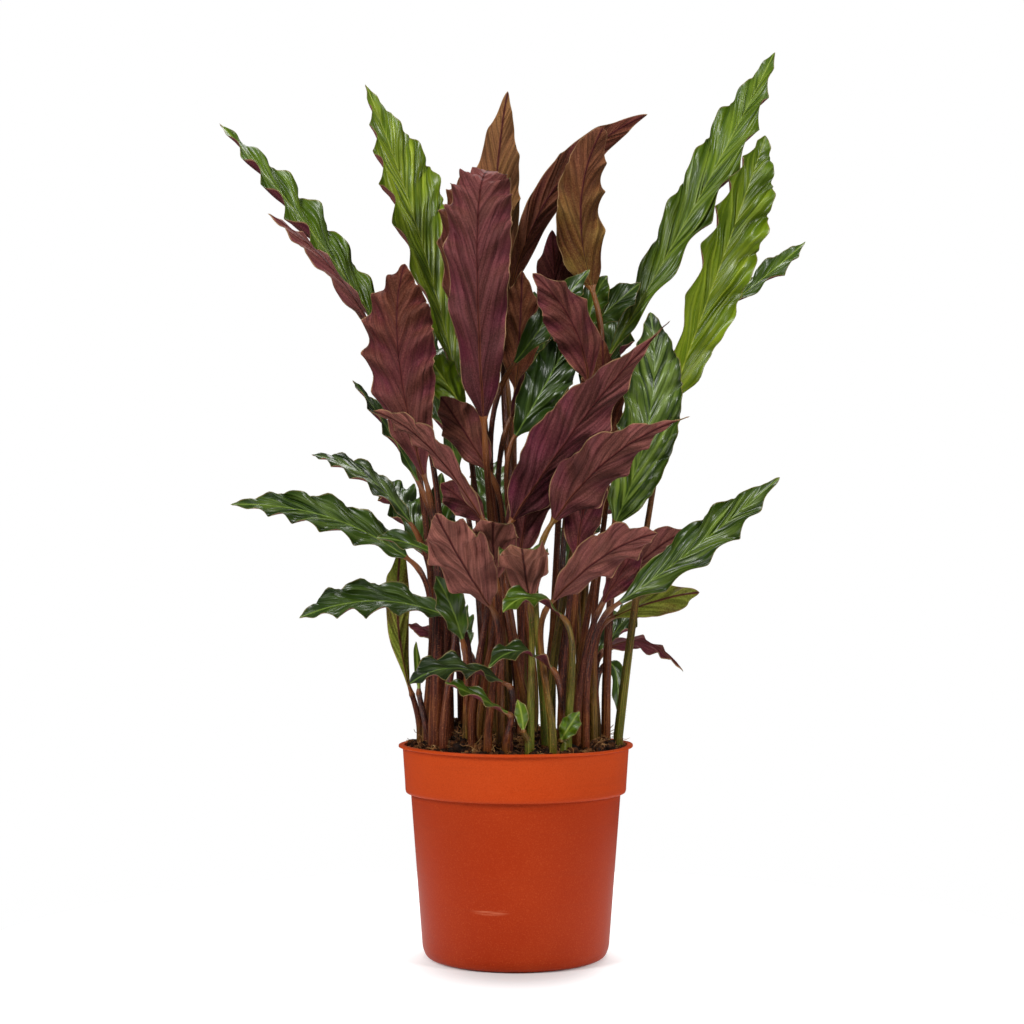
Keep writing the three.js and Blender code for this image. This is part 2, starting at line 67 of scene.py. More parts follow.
# Leaves, in millimetres, as in the part's source but for mid_shade_b, whose middle and tip stand
# 1 and 2.5 mm farther back, clear of its neighbour
RIB_DEPTH = 1.5
BLADE_THICKNESS = 0.75
VEIN_SLANT = 0.1
WAVE_SHARE = 0.12
CUP_SHARE = 0.14
SCALLOP = -0.06
TIP_HALF_WIDTH = 0.25
PROFILE = [0.9, 0.75]
WAVE_REACH = 1.3
TIP_TAPER = 0.35
TAPER_START = 0.72
GATHER = 0.5
MARGIN_CURL = 0.05
FOOT_RADIUS = 2.8
NECK_RADIUS = 1.8
FRAME_STEPS = 64
SOIL_LEVEL = 153
FOOT_DEPTH = 16
ROW_STEP = 2.0
STALK_RINGS = 26
VEIN_SPACING = 16.0
VEIN_SLOPE = 2.2

# Finer forms than the part's source has: how much the waves vary, ripples of the blade and of
# its outline, pleats between the veins, the groove above the midrib, how much thinner the margin
# is, the length over which stalk turns to blade, and the swellings of the stalk
WAVE_VARIES = 0.22
RIPPLE_LIFT, RIPPLE_EDGE = 0.02, 0.012
PLEAT_HEIGHT = 0.75
RIB_GROOVE = 0.35
MARGIN_THINNING = 0.65
NECK_BLEND = 16
KNEE_SWELL, KNEE_PLACE, KNEE_SPREAD = 0.45, 0.92, 0.05
SHEATH_SWELL, SHEATH_SPREAD = 0.8, 0.3
COLUMN_WIDTH = 2.5
FEWEST_COLUMNS, FEWEST_ROWS = 7, 26
LEAF_SEED = 500

# One leaf a row: name, foot, the blade's neck, middle and tip, width, the way its upper side
# faces [azimuth, elevation], twist, waves along each margin, and extras.
LEAVES = [
    ["far_left_tall", [-53, 26], [-89, 38, 447], [-155, 56, 544], [-233, 74, 637], 38, [52, 20], 10, 7,
     {"cup": 0.25, "turned": 1}],
    ["left_second", [-60, 6], [-95, 10, 440], [-137, 14, 510], [-188, 18, 556], 18, [230, -25], 0, 5],
    ["left_bright_tall", [-21, 34], [-39, 26, 401], [-73, 46, 540], [-118, 70, 667], 54, [38, 12], 0, 8,
     {"cup": 0.34, "wave": 0.06, "profile": [1.5, 1.0], "turned": 1}],
    ["back_centre_tall", [-6, 52], [-8, 62, 441], [-16, 70, 556], [-6, 76, 663], 38, [176, 5], 0, 5],
    ["centre_tall_purple", [-9, -34], [-23, -30, 387], [-28, -32, 534], [-19, -6, 583], 50, [172, 10], 0, 7,
     {"profile": [0.55, 0.5], "foot": 5}],
    ["centre_left_behind", [-18, 6], [-26, 8, 414], [-39, 12, 518], [-35, 24, 586], 40, [168, 5], 0, 6,
     {"profile": [0.9, 0.5]}],
    ["right_centre_olive", [25, 12], [59, 15, 494], [49, 14, 562], [66, 12, 620], 37, [196, 0], 0, 4,
     {"profile": [0.35, 0.5]}],
    ["centre_diagonal", [10, 40], [-5, 46, 494], [32, 46, 583], [102, 46, 638], 27, [200, -8], 0, 4],
    ["right_tall_green", [52, 42], [69, 42, 446], [144, 62, 578], [206, 88, 697], 40, [-28, 12], 0, 7,
     {"profile": [0.95, 0.7]}],
    ["right_bright", [76, -4], [114, 8, 407], [160, 16, 531], [191, 30, 618], 48, [35, 12], 0, 7,
     {"bend": [10, 0], "cup": 0.32, "wave": 0.07, "profile": [0.6, 0.62]}],
    ["far_right_small", [68, 21], [145, 56, 476], [196, 68, 516], [229, 82, 545], 22, [-30, 35], 60, 4,
     {"turned": 1, "profile": [0.9, 1.1]}],
    ["right_centre_dark", [27, 39], [34, 43, 458], [31, 41, 500], [28, 38, 547], 30, [180, 0], 0, 3],
    ["centre_curl", [39, -20], [53, -24, 421], [42, -36, 464], [12, -48, 501], 36, [190, -5], 20, 4],
    ["centre_green_a", [5, -3], [-3, -5, 437], [26, -9, 475], [55, -13, 509], 24, [-12, 20], 0, 4],
    ["centre_green_b", [45, 20], [55, 26, 465], [59, 26, 490], [70, 26, 510], 22, [0, 10], 0, 3,
     {"bend": [8, 5]}],
    ["right_purple_upper", [9, -50], [-6, -50, 317], [52, -58, 400], [110, -70, 464], 48, [196, 8], 0, 6,
     {"profile": [1.0, 2.0], "wave": 0.16}],
    ["right_purple_lower", [21, -58], [24, -60, 317], [68, -74, 367], [122, -92, 394], 42, [196, 15], 0, 5,
     {"profile": [0.9, 1.8], "wave": 0.16}],
    ["right_dark_wide", [57, -16], [71, -12, 316], [99, -13, 399], [100, -7, 478], 45, [8, 10], 0, 7,
     {"profile": [0.6, 0.6]}],
    ["right_long_low", [50, -48], [71, -46, 260], [128, -58, 302], [187, -76, 352], 33, [-15, 30], 0, 5,
     {"cup": 0.06, "turned": 1}],
    ["right_olive_low", [61, 10], [72, 12, 250], [108, 16, 263], [139, 22, 269], 23, [185, -20], 0, 2],
    ["right_low_thin", [62, 30], [68, 36, 225], [102, 58, 229], [131, 74, 206], 18, [180, -50], 0, 4,
     {"profile": [0.9, 1.1]}],
    ["right_front_purple", [26, -68], [24, -70, 262], [61, -86, 296], [98, -106, 312], 33, [190, 20], 0, 4,
     {"wave": 0.14}],
    ["front_right_orange", [10, -68], [10, -72, 262], [6, -96, 288], [4, -126, 301], 36, [180, 30], 0, 3,
     {"profile": [0.8, 0.4]}],
    ["front_left_purple", [-20, -67], [-17, -71, 259], [-37, -95, 291], [-55, -122, 325], 44, [170, 20], 0, 4,
     {"wave": 0.14}],
    ["front_centre_purple", [-11, -58], [-14, -60, 279], [-16, -74, 299], [-16, -94, 320], 36, [180, 20],
     0, 3, {"profile": [0.8, 0.4]}],
    ["left_purple", [-58, -30], [-65, -28, 348], [-86, -26, 445], [-82, -14, 513], 54, [170, 8], 0, 7,
     {"profile": [0.95, 0.75], "foot": 5.6}],
    ["left_curl", [-31, -54], [-21, -54, 318], [-61, -58, 374], [-102, -66, 400], 22, [160, 52], 0, 5,
     {"bend": [-4, -1]}],
    ["left_dark_curl", [-49, -4], [-71, -4, 348], [-96, 4, 392], [-123, 12, 429], 18, [60, 15], 0, 4],
    ["left_grey_thin", [-57, 18], [-77, 14, 318], [-112, 22, 356], [-156, 34, 374], 22, [20, 50], 0, 5,
     {"turned": 1}],
    ["left_long", [-66, -14], [-77, -8, 292], [-138, -16, 325], [-209, -28, 334], 31, [0, 38], 0, 6,
     {"cup": 0.22, "profile": [0.65, 0.75]}],
    ["left_small_green", [-52, -51], [-55, -50, 296], [-79, -60, 306], [-99, -70, 309], 18, [0, 50], 0, 2],
    ["left_low", [-36, -37], [-46, -42, 251], [-100, -54, 264], [-154, -70, 252], 32, [0, 45], 0, 5,
     {"cup": 0.24}],
    ["left_olive", [-71, 2], [-78, 4, 195], [-88, 8, 247], [-86, 14, 305], 19, [180, 0], 0, 2,
     {"profile": [1.3, 0.7]}],
    ["front_low_dark", [-5, -68], [-6, -74, 205], [-43, -98, 218], [-73, -118, 208], 28, [0, 60], 0, 4],
    ["front_drip", [33, -48], [26, -72, 216], [3, -98, 230], [-19, -116, 219], 22, [0, 65], 0, 3],
    ["front_bright", [37, -58], [33, -78, 253], [10, -98, 267], [-9, -114, 257], 24, [0, 60], 0, 3],
    ["right_brown_behind", [43, -4], [68, 2, 358], [66, 4, 407], [65, 6, 459], 38, [196, 5], 0, 4],
    ["mid_shade_a", [3, -30], [4, -34, 292], [10, -36, 337], [31, -40, 397], 32, [178, 5], 0, 4],
    ["mid_shade_b", [33, -32], [43, -34, 292], [50, -35, 337], [58, -33.5, 388], 32, [178, 5], 0, 4],
    ["left_yellow_curl", [-26, 18], [-37, 6, 404], [-54, 0, 429], [-67, -4, 448], 28, [-20, 10], 0, 4],
    ["centre_left_brown", [-23, -16], [-19, -12, 358], [-38, -10, 389], [-56, -8, 415], 32, [165, 5], 0, 3],
    ["centre_left_low", [-27, -40], [-22, -41, 321], [-39, -40, 337], [-55, -38, 349], 24, [180, 5], 0, 3],
    ["right_mid_purple", [47, -25], [71, -24, 273], [99, -26, 299], [124, -28, 315], 26, [196, 10], 0, 3],
    ["right_mid_twist", [44, -36], [63, -34, 261], [77, -38, 285], [90, -40, 307], 24, [150, 30], 60, 3],
    ["centre_dark_green", [12, -18], [-2, -20, 382], [22, -21, 423], [46, -20, 468], 34, [5, 10], 0, 5,
     {"bend": [10, 0]}],
    ["centre_brown", [6, 22], [0, 24, 420], [3, 26, 467], [5, 28, 514], 32, [182, 0], 0, 5],
    ["left_back_dark", [-41, 30], [-52, 42, 271], [-59, 46, 316], [-57, 50, 361], 28, [20, 5], 0, 3],
    ["rear_left_high", [-24, 54], [-44, 88, 360], [-66, 120, 440], [-84, 160, 498], 42, [45, 25], 0, 6],
    ["rear_centre_high", [10, 58], [14, 92, 400], [24, 124, 474], [32, 168, 524], 44, [-6, 25], 0, 6],
    ["rear_right_high", [36, 50], [48, 80, 372], [74, 110, 452], [92, 148, 514], 42, [-45, 25], 0, 6],
    ["rear_left_mid", [-40, 44], [-62, 80, 280], [-88, 116, 334], [-108, 158, 362], 40, [40, 40], 0, 6],
    ["rear_centre_mid", [-8, 67], [-10, 98, 296], [-16, 142, 350], [-20, 192, 376], 42, [4, 45], 0, 6],
    ["rear_right_mid", [24, 62], [38, 98, 280], [60, 140, 330], [78, 186, 352], 42, [-44, 45], 0, 6],
    ["rear_left_low", [-24, 66], [-36, 98, 220], [-54, 136, 250], [-66, 178, 252], 36, [45, 60], 0, 5],
    ["rear_right_low", [46, 58], [64, 88, 212], [88, 118, 246], [106, 152, 252], 36, [-45, 60], 0, 5],
    ["left_thin_purple", [-41, 34], [-48, 34, 225], [-67, 44, 238], [-83, 54, 244], 12, [180, -50], 0, 3,
     {"joins": "left_back_dark"}],
    ["front_low_second", [-7, -70], [-5, -82, 185], [-28, -102, 199], [-49, -114, 209], 20, [0, 60], 0, 3,
     {"joins": "front_low_dark"}],
    ["base_young_right", [34, -60], [32, -62, 165], [38, -66, 175], [45, -70, 186], 14, [0, 10], 0, 3,
     {"joins": "front_bright"}],
    ["base_young_left", [9, -71], [5, -75, 173], [4, -77, 184], [1, -79, 195], 10, [0, 10], 0, 2,
     {"joins": "front_right_orange"}],
    ["left_green_upright", [-36, -42], [-38, -58, 235], [-46, -67, 260], [-57, -76, 282], 22, [15, 15], 0, 3,
     {"joins": "left_low"}],
    ["right_droop_small", [61, 33], [70, 44, 214], [77, 40, 206], [78, 36, 173], 14, [30, 20], 0, 2,
     {"joins": "right_low_thin"}],
    ["right_green_small", [46, 23], [53, 32, 468], [74, 38, 488], [96, 44, 507], 24, [0, 20], 0, 3,
     {"joins": "centre_green_b", "bend": [14, 3]}],
    ["spear_left", [-65, -18], [-71, -26, 198], [-72, -27, 217], [-73, -28, 234], 5, [0, 0], 0, 1,
     {"joins": "left_long"}],
    ["centre_olive_young", [3, 0], [-4, 2, 399], [7, 0, 422], [19, -2, 445], 14, [180, 0], 0, 2,
     {"joins": "centre_green_a"}],
]

# How each leaf is coloured: upper side from 0, bluish dark, to 1, yellow-green, at the base and
# the tip; underside from 0, wine, to 1, olive, where light comes through; stalk from 0, burgundy,
# through 0.5, rust, to 1, green.
PLAIN_LOOK = (0.35, 0.35, 0.15, 0.15, 0.2)
LOOKS = {
    "far_left_tall": (0.66, 0.58, 0.1, 0.1, 0.2),
    "left_second": (0.5, 0.5, 0.12, 0.05, 0.2),
    "left_bright_tall": (0.95, 0.72, 0.2, 0.2, 0.35),
    "back_centre_tall": (0.5, 0.5, 0.6, 0.75, 0.5),
    "centre_tall_purple": (0.4, 0.4, 0.0, 0.2, 0.35),
    "centre_left_behind": (0.4, 0.4, 0.4, 0.5, 0.3),
    "right_centre_olive": (0.5, 0.5, 0.86, 0.55, 0.6),
    "centre_diagonal": (0.5, 0.5, 0.5, 0.45, 0.5),
    "right_tall_green": (0.6, 0.55, 0.12, 0.12, 0.4),
    "right_bright": (1.0, 0.6, 0.3, 0.3, 0.5),
    "far_right_small": (0.45, 0.35, 0.1, 0.1, 0.4),
    "right_centre_dark": (0.3, 0.3, 0.4, 0.3, 0.4),
    "centre_curl": (0.35, 0.35, 0.35, 0.25, 0.6),
    "centre_green_a": (0.35, 0.25, 0.2, 0.2, 0.5),
    "centre_green_b": (0.45, 0.3, 0.2, 0.2, 0.5),
    "right_purple_upper": (0.3, 0.3, 0.02, 0.12, 0.35),
    "right_purple_lower": (0.3, 0.3, 0.1, 0.1, 0.8),
    "right_dark_wide": (0.4, 0.12, 0.1, 0.1, 0.3),
    "right_long_low": (0.3, 0.3, 0.1, 0.1, 0.3),
    "right_olive_low": (0.7, 0.7, 1.05, 1.0, 0.5),
    "right_low_thin": (0.3, 0.3, 0.2, 0.2, 0.3),
    "right_front_purple": (0.3, 0.3, 0.1, 0.2, 0.5),
    "front_right_orange": (0.3, 0.3, 0.3, 0.45, 0.7),
    "front_left_purple": (0.3, 0.3, 0.12, 0.25, 0.2),
    "front_centre_purple": (0.3, 0.3, 0.2, 0.35, 0.3),
    "left_purple": (0.3, 0.3, 0.15, 0.5, 0.1),
    "left_curl": (0.35, 0.35, 0.15, 0.3, 0.2),
    "left_dark_curl": (0.2, 0.1, 0.2, 0.2, 0.2),
    "left_grey_thin": (0.15, 0.1, 0.2, 0.2, 0.2),
    "left_long": (0.25, 0.25, 0.1, 0.1, 0.15),
    "left_small_green": (0.3, 0.3, 0.1, 0.1, 0.2),
    "left_low": (0.25, 0.2, 0.1, 0.1, 0.15),
    "left_olive": (0.8, 0.8, 1.15, 1.0, 0.3),
    "front_low_dark": (0.05, 0.0, 0.1, 0.1, 0.1),
    "front_drip": (0.1, 0.1, 0.1, 0.1, 0.4),
    "front_bright": (0.4, 0.4, 0.1, 0.1, 0.9),
    "right_brown_behind": (0.3, 0.3, 0.5, 0.6, 0.6),
    "left_yellow_curl": (0.9, 0.9, 0.2, 0.2, 0.4),
    "centre_left_brown": (0.3, 0.3, 0.35, 0.35, 0.3),
    "centre_dark_green": (0.2, 0.12, 0.2, 0.2, 0.5),
    "centre_brown": (0.3, 0.3, 0.6, 0.55, 0.4),
    "base_young_right": (0.6, 0.6, 0.2, 0.2, 0.9),
    "base_young_left": (0.6, 0.6, 0.2, 0.2, 0.9),
    "left_green_upright": (0.4, 0.3, 0.2, 0.2, 0.3),
    "spear_left": (0.6, 0.6, 0.1, 0.1, 0.2),
    "right_green_small": (0.3, 0.25, 0.2, 0.2, 0.4),
}


# How strong the pale feather marking above, partly painted highlight, and the pale wash beneath,
# painted light, are at the base and the tip.
PLAIN_PALE = (0.1, 0.1)
PALE = {
    "left_bright_tall": (0.6, 0.7),
    "right_dark_wide": (1.0, 0.8),
    "right_bright": (0.5, 0.25),
    "right_tall_green": (0.4, 0.4),
    "left_long": (0.2, 0.4),
    "left_grey_thin": (0.6, 0.8),
    "right_long_low": (0.5, 0.5),
    "front_left_purple": (0.95, 1.2),
    "front_centre_purple": (0.55, 0.9),
    "front_right_orange": (1.1, 1.25),
    "right_front_purple": (0.65, 0.8),
    "right_purple_upper": (0.0, 0.6),
    "right_purple_lower": (0.15, 0.9),
    "right_mid_purple": (0.5, 0.7),
    "left_curl": (0.6, 1.1),
    "left_purple": (0.25, 0.05),
    "left_second": (0.5, 0.4),
    "centre_tall_purple": (0.05, 0.6),
    "centre_curl": (0.1, 0.3),
    "centre_left_brown": (0.3, 0.3),
    "back_centre_tall": (0.4, 0.7),
    "right_centre_olive": (0.1, 0.35),
}


def colour(code):
    """A linear RGBA colour from an sRGB hex code."""
    parts = [int(code[i : i + 2], 16) / 255 for i in (1, 3, 5)]
    return [c / 12.92 if c <= 0.04045 else ((c + 0.055) / 1.055) ** 2.4 for c in parts] + [1.0]


def feed(tree, node, inputs):
    """Sets a node's sockets, each to a value or linked from another socket."""
    for key, value in inputs.items():
        if isinstance(value, bpy.types.NodeSocket):
            tree.links.new(value, node.inputs[key])
        else:
            node.inputs[key].default_value = value


def add(tree, kind, inputs=None, **settings):
    """A node in the tree: settings are its own fields, inputs its sockets' values or links."""
    made = tree.nodes.new(kind)
    for key, value in settings.items():
        setattr(made, key, value)
    feed(tree, made, inputs or {})
    return made


def new_material(name):
    """A material with its shader, ready for nodes: (material, tree, shader)."""
    made = bpy.data.materials.new(name)
    made.use_nodes = True
    return made, made.node_tree, made.node_tree.nodes["Principled BSDF"]


def ramp(tree, value, stops):
    """The colour at a value between stops of (place, hex code or grey)."""
    made = add(tree, "ShaderNodeValToRGB", {"Fac": value})
    points = made.color_ramp.elements
    while len(points) < len(stops):
        points.new(0.5)
    for point, (place, shade) in zip(points, stops):
        point.position = place
        point.color = colour(shade) if isinstance(shade, str) else [shade] * 3 + [1.0]
    return made.outputs["Color"]


def maths(tree, operation, a, b=0.0, c=0.0, clamp=False):
    """One sum of two or three values or sockets."""
    return add(tree, "ShaderNodeMath", {0: a, 1: b, 2: c}, operation=operation, use_clamp=clamp).outputs[0]


def mixed(tree, share, a, b):
    """Colour a turned to colour b by a share."""
    return add(tree, "ShaderNodeMix", {0: share, 6: a, 7: b}, data_type="RGBA").outputs[2]


def read(tree, name):
    """A number kept on the mesh's points."""
    return add(tree, "ShaderNodeAttribute", attribute_name=name).outputs["Fac"]


def noise(tree, scale, detail=3.0, place=None, rough=0.5):
    """Soft noise in object space, in features a metre."""
    where = place or add(tree, "ShaderNodeTexCoord").outputs["Object"]
    inputs = {"Vector": where, "Scale": scale, "Detail": detail, "Roughness": rough}
    return add(tree, "ShaderNodeTexNoise", inputs).outputs["Fac"]


def ridges(tree, value, spacing, shift=0.0):
    """A wave from 0 to 1 that repeats each spacing."""
    wave = maths(tree, "SINE", maths(tree, "MULTIPLY_ADD", value, 2 * math.pi / spacing, shift))
    return maths(tree, "MULTIPLY_ADD", wave, 0.5, 0.5)


def between(tree, value, low, high):
    """0 below low, 1 above high, and smooth between, or the other way where low is above high."""
    inputs = {"Value": value, "From Min": min(low, high), "From Max": max(low, high)}
    inputs |= {"To Min": float(low > high), "To Max": float(low <= high)}
    return add(tree, "ShaderNodeMapRange", inputs, interpolation_type="SMOOTHSTEP").outputs["Result"]


def coated(tree, under, top, value, low, high, strength):
    """One colour over another, up to a strength, where a value passes from low to high."""
    return mixed(tree, maths(tree, "MULTIPLY", between(tree, value, low, high), strength), under, top)


def grained(name, scale, detail, stops, roughness, specular=0.5, rough=0.5, relief=None):
    """A plain material, coloured by one noise and, where relief gives a scale, a detail and a
    depth, roughened by another."""
    made, tree, shader = new_material(name)
    body = ramp(tree, noise(tree, scale, detail, rough=rough), stops)
    feed(tree, shader, {"Base Color": body, "Roughness": roughness, "Specular IOR Level": specular})
    if relief:
        height = noise(tree, relief[0], relief[1], rough=0.7)
        feed(tree, shader, {"Normal": bump(tree, height, relief[2])})
    return made


def blotched(tree, value, patch, amount):
    """A value made uneven by a noise, by half the amount either way, and kept from 0 to 1."""
    uneven = maths(tree, "MULTIPLY_ADD", patch, amount, value)
    return maths(tree, "SUBTRACT", uneven, amount / 2, clamp=True)


def vein_noise(tree, across_veins, detail):
    """Noise drawn out along the slanting veins, in features a millimetre across them."""
    across = maths(tree, "MULTIPLY", read(tree, "vein"), across_veins)
    outward = maths(tree, "MULTIPLY", read(tree, "off_rib"), across_veins * 0.2)
    apart = maths(tree, "MULTIPLY", read(tree, "beside"), 0.03)
    where = add(tree, "ShaderNodeCombineXYZ", {"X": across, "Y": outward, "Z": apart})
    return noise(tree, 1.0, detail, where.outputs["Vector"])


def bump(tree, height, distance, strength=1.0, normal=None):
    """The surface's direction as if it had this relief, on top of another relief or alone."""
    inputs = {"Height": height, "Distance": distance, "Strength": strength}
    if normal is not None:
        inputs["Normal"] = normal
    return add(tree, "ShaderNodeBump", inputs).outputs["Normal"]


# Calathea leaf, upper side: a waxy green skin, quilted between slanting veins. It shines softly
# and its pale feather marking follows the veins, partly pigment and partly painted highlight on
# the raised quilting; painted shade darkens the wave troughs and the low sides of the quilting.
leaf_upper, tree, shader = new_material("calathea_leaf_waxy_green")
names = ("sun", "vein", "off_rib", "to_edge", "pale", "fold")
sun, vein, off_rib, to_edge, pallor, fold = (read(tree, name) for name in names)
patch = noise(tree, 45.0, 3.0)
wander = maths(tree, "MULTIPLY_ADD", noise(tree, 60.0, 2.0), 3.0, vein)
feather = ridges(tree, wander, VEIN_SPACING, -0.3)
streak = vein_noise(tree, 0.07, 1.0)
barbs = vein_noise(tree, 0.24, 0.0)
shade = blotched(tree, sun, patch, 0.3)
deep = ramp(tree, shade, [(0.0, "#16280a"), (0.3, "#304a08"), (0.6, "#527008"), (1.0, "#7c9608")])
pale = ramp(tree, shade, [(0.0, "#6c8248"), (0.3, "#88a044"), (0.6, "#a0b838"), (1.0, "#c0cc3c")])
# Pale feather marking where the streaks, which are also the bump, rise: partly pigment and partly painted
# highlight.
marks_and_highlight = maths(tree, "MULTIPLY", between(tree, streak, 0.46, 0.62), between(tree, to_edge, 0.5, 6.0))
strong = maths(tree, "MULTIPLY_ADD", pallor, 0.7, 0.06)
body = mixed(tree, maths(tree, "MULTIPLY", marks_and_highlight, strong), deep, pale)
# Pale chevrons on the ridges of the quilting: partly pigment and partly painted highlight.
chevron_and_highlight = maths(tree, "MULTIPLY", between(tree, feather, 0.45, 0.95), between(tree, patch, 0.36, 0.56))
chevron_and_highlight = maths(tree, "MULTIPLY", chevron_and_highlight, between(tree, to_edge, 1.0, 8.0))
body = mixed(tree, maths(tree, "MULTIPLY", maths(tree, "MULTIPLY", chevron_and_highlight, pallor), 0.7), body, pale)
# Pale fine barbs where their bump rises: partly pigment and partly painted highlight.
barbs_and_highlight = maths(tree, "MULTIPLY", between(tree, barbs, 0.5, 0.66), strong)
body = mixed(tree, maths(tree, "MULTIPLY", barbs_and_highlight, 0.4), body, pale)
# Painted shade: the colour darkens in the troughs of the waves and on the low sides of the quilting, the
# streaks and the barbs.
dark = mixed(tree, 0.55, body, colour("#0c1a02"))
body = coated(tree, body, dark, fold, -0.1, -0.9, 0.6)
body = coated(tree, body, dark, feather, 0.45, 0.0, 0.25)
body = coated(tree, body, dark, streak, 0.5, 0.36, 0.6)
body = coated(tree, body, dark, barbs, 0.46, 0.36, 0.15)
rib_colour = ramp(tree, shade, [(0.0, "#56702c"), (0.5, "#809838"), (1.0, "#b4c03c")])
body = mixed(tree, between(tree, off_rib, 0.85, 0.35), body, rib_colour)
rim = maths(tree, "MULTIPLY", between(tree, to_edge, 0.7, 0.25), between(tree, patch, 0.3, 0.6))
body = mixed(tree, maths(tree, "MULTIPLY", rim, 0.7), body, colour("#9a8a50"))
feed(tree, shader, {"Base Color": body})
gloss = maths(tree, "MULTIPLY_ADD", noise(tree, 180.0, 2.0), 0.14, 0.26)
feed(tree, shader, {"Roughness": gloss, "IOR": 1.45, "Specular IOR Level": 0.6})
broad = between(tree, maths(tree, "ADD", off_rib, to_edge), 4.0, 14.0)
skin = bump(tree, streak, 0.007, broad)
skin = bump(tree, barbs, 0.0009, maths(tree, "MULTIPLY", broad, 0.7), skin)
skin = bump(tree, noise(tree, 500.0, 2.0), 0.0001, 0.2, skin)
feed(tree, shader, {"Normal": skin})

# Calathea leaf, underside: wine-purple velvet whose short hairs grey it in a fine grain. Painted sheen
# greys each swell, painted shade leaves the folds dark and magenta, and thin leaves with light
# behind them turn brown and olive.
leaf_under, tree, shader = new_material("calathea_leaf_wine_velvet")
names = ("glow", "vein", "off_rib", "to_edge", "pale", "fold", "along")
glow, vein, off_rib, to_edge, pallor, fold, reach = (read(tree, name) for name in names)
patch = noise(tree, 38.0, 3.0)
wander = maths(tree, "MULTIPLY_ADD", noise(tree, 60.0, 2.0), 3.0, vein)
swell = ridges(tree, wander, VEIN_SPACING, math.pi - 0.3)
streak = vein_noise(tree, 0.07, 1.0)
thread = vein_noise(tree, 0.5, 0.0)
nap = noise(tree, 2000.0, 1.0)
grain = noise(tree, 900.0, 2.0)
shade = blotched(tree, glow, patch, 0.25)
reds = [(0.0, "#3c1016"), (0.25, "#481812"), (0.6, "#5a2a10"), (0.8, "#643812")]
wine = ramp(tree, shade, reds + [(0.92, "#665610"), (1.0, "#6a7e1c")])
greys = [(0.0, "#7c424a"), (0.3, "#804a40"), (0.6, "#905c3e"), (0.92, "#948836"), (1.0, "#a4b048")]
bloom_and_sheen = ramp(tree, shade, greys)
magenta_stain_and_shade = mixed(tree, between(tree, shade, 0.2, 0.6), colour("#6a0c3c"), colour("#5a1a10"))
# Painted shade: the wave folds turn magenta; below, random stains take the same magenta.
body = coated(tree, wine, magenta_stain_and_shade, fold, 0.0, 0.8, 0.75)
stain = noise(tree, 26.0, 2.0)
body = coated(tree, body, magenta_stain_and_shade, stain, 0.45, 0.62, 0.45)
body = coated(tree, body, bloom_and_sheen, nap, 0.4, 0.75, 0.35)
body = coated(tree, body, bloom_and_sheen, grain, 0.45, 0.7, 0.4)
# Painted sheen: the swells of the waves turn greyish.
body = coated(tree, body, bloom_and_sheen, fold, 0.0, -0.9, 0.5)
# Painted light: a pale wash, its strength from each leaf's pale number.
painted_light_wash = mixed(tree, between(tree, shade, 0.3, 0.8), colour("#b47264"), colour("#b07c50"))
body = mixed(tree, maths(tree, "MULTIPLY", pallor, 0.8), body, painted_light_wash)
# Painted sheen on the raised sides of the streaks.
body = coated(tree, body, bloom_and_sheen, streak, 0.5, 0.66, 0.35)
# Painted shade: the valleys between the veins, the wave folds and the low sides of the streaks and threads
# darken; the grain darkens at random.
dark = mixed(tree, 0.7, body, colour("#1c0608"))
body = coated(tree, body, dark, swell, 0.4, 0.0, 0.4)
body = coated(tree, body, dark, streak, 0.5, 0.36, 0.45)
body = coated(tree, body, dark, fold, 0.4, 1.0, 0.4)
body = coated(tree, body, dark, thread, 0.5, 0.36, 0.35)
body = coated(tree, body, dark, grain, 0.5, 0.3, 0.45)
warm = ramp(tree, shade, [(0.0, "#6e3a20"), (0.5, "#7a4a20"), (1.0, "#8a7a2c")])
cord = mixed(tree, between(tree, reach, 1.02, 1.4), warm, colour("#5a2420"))
body = coated(tree, body, cord, off_rib, 1.1, 0.7, 0.8)
body = mixed(tree, between(tree, off_rib, 0.4, 0.15), body, colour("#3a141a"))
rim = maths(tree, "MULTIPLY", between(tree, to_edge, 0.85, 0.3), between(tree, patch, 0.3, 0.55))
body = mixed(tree, maths(tree, "MULTIPLY", rim, 0.8), body, colour("#b08a62"))
feed(tree, shader, {
    "Base Color": body, "Roughness": 0.58, "IOR": 1.45, "Specular IOR Level": 0.11,
    "Sheen Weight": 0.1, "Sheen Roughness": 0.4, "Sheen Tint": colour("#c89a88"),
})
broad = between(tree, maths(tree, "ADD", off_rib, to_edge), 2.5, 8.0)
skin = bump(tree, streak, 0.007, broad)
skin = bump(tree, thread, 0.0006, maths(tree, "MULTIPLY", broad, 0.7), skin)
skin = bump(tree, nap, 0.0003, 0.6, skin)
feed(tree, shader, {"Normal": skin})

# Leaf margin: the thin cut edge of the blade, tan and a little dry.
tans = [(0.3, "#4e4426"), (0.55, "#7c6c3c"), (0.75, "#b0985c")]
leaf_margin = grained("calathea_leaf_dry_margin", 160.0, 2.0, tans, 0.6)

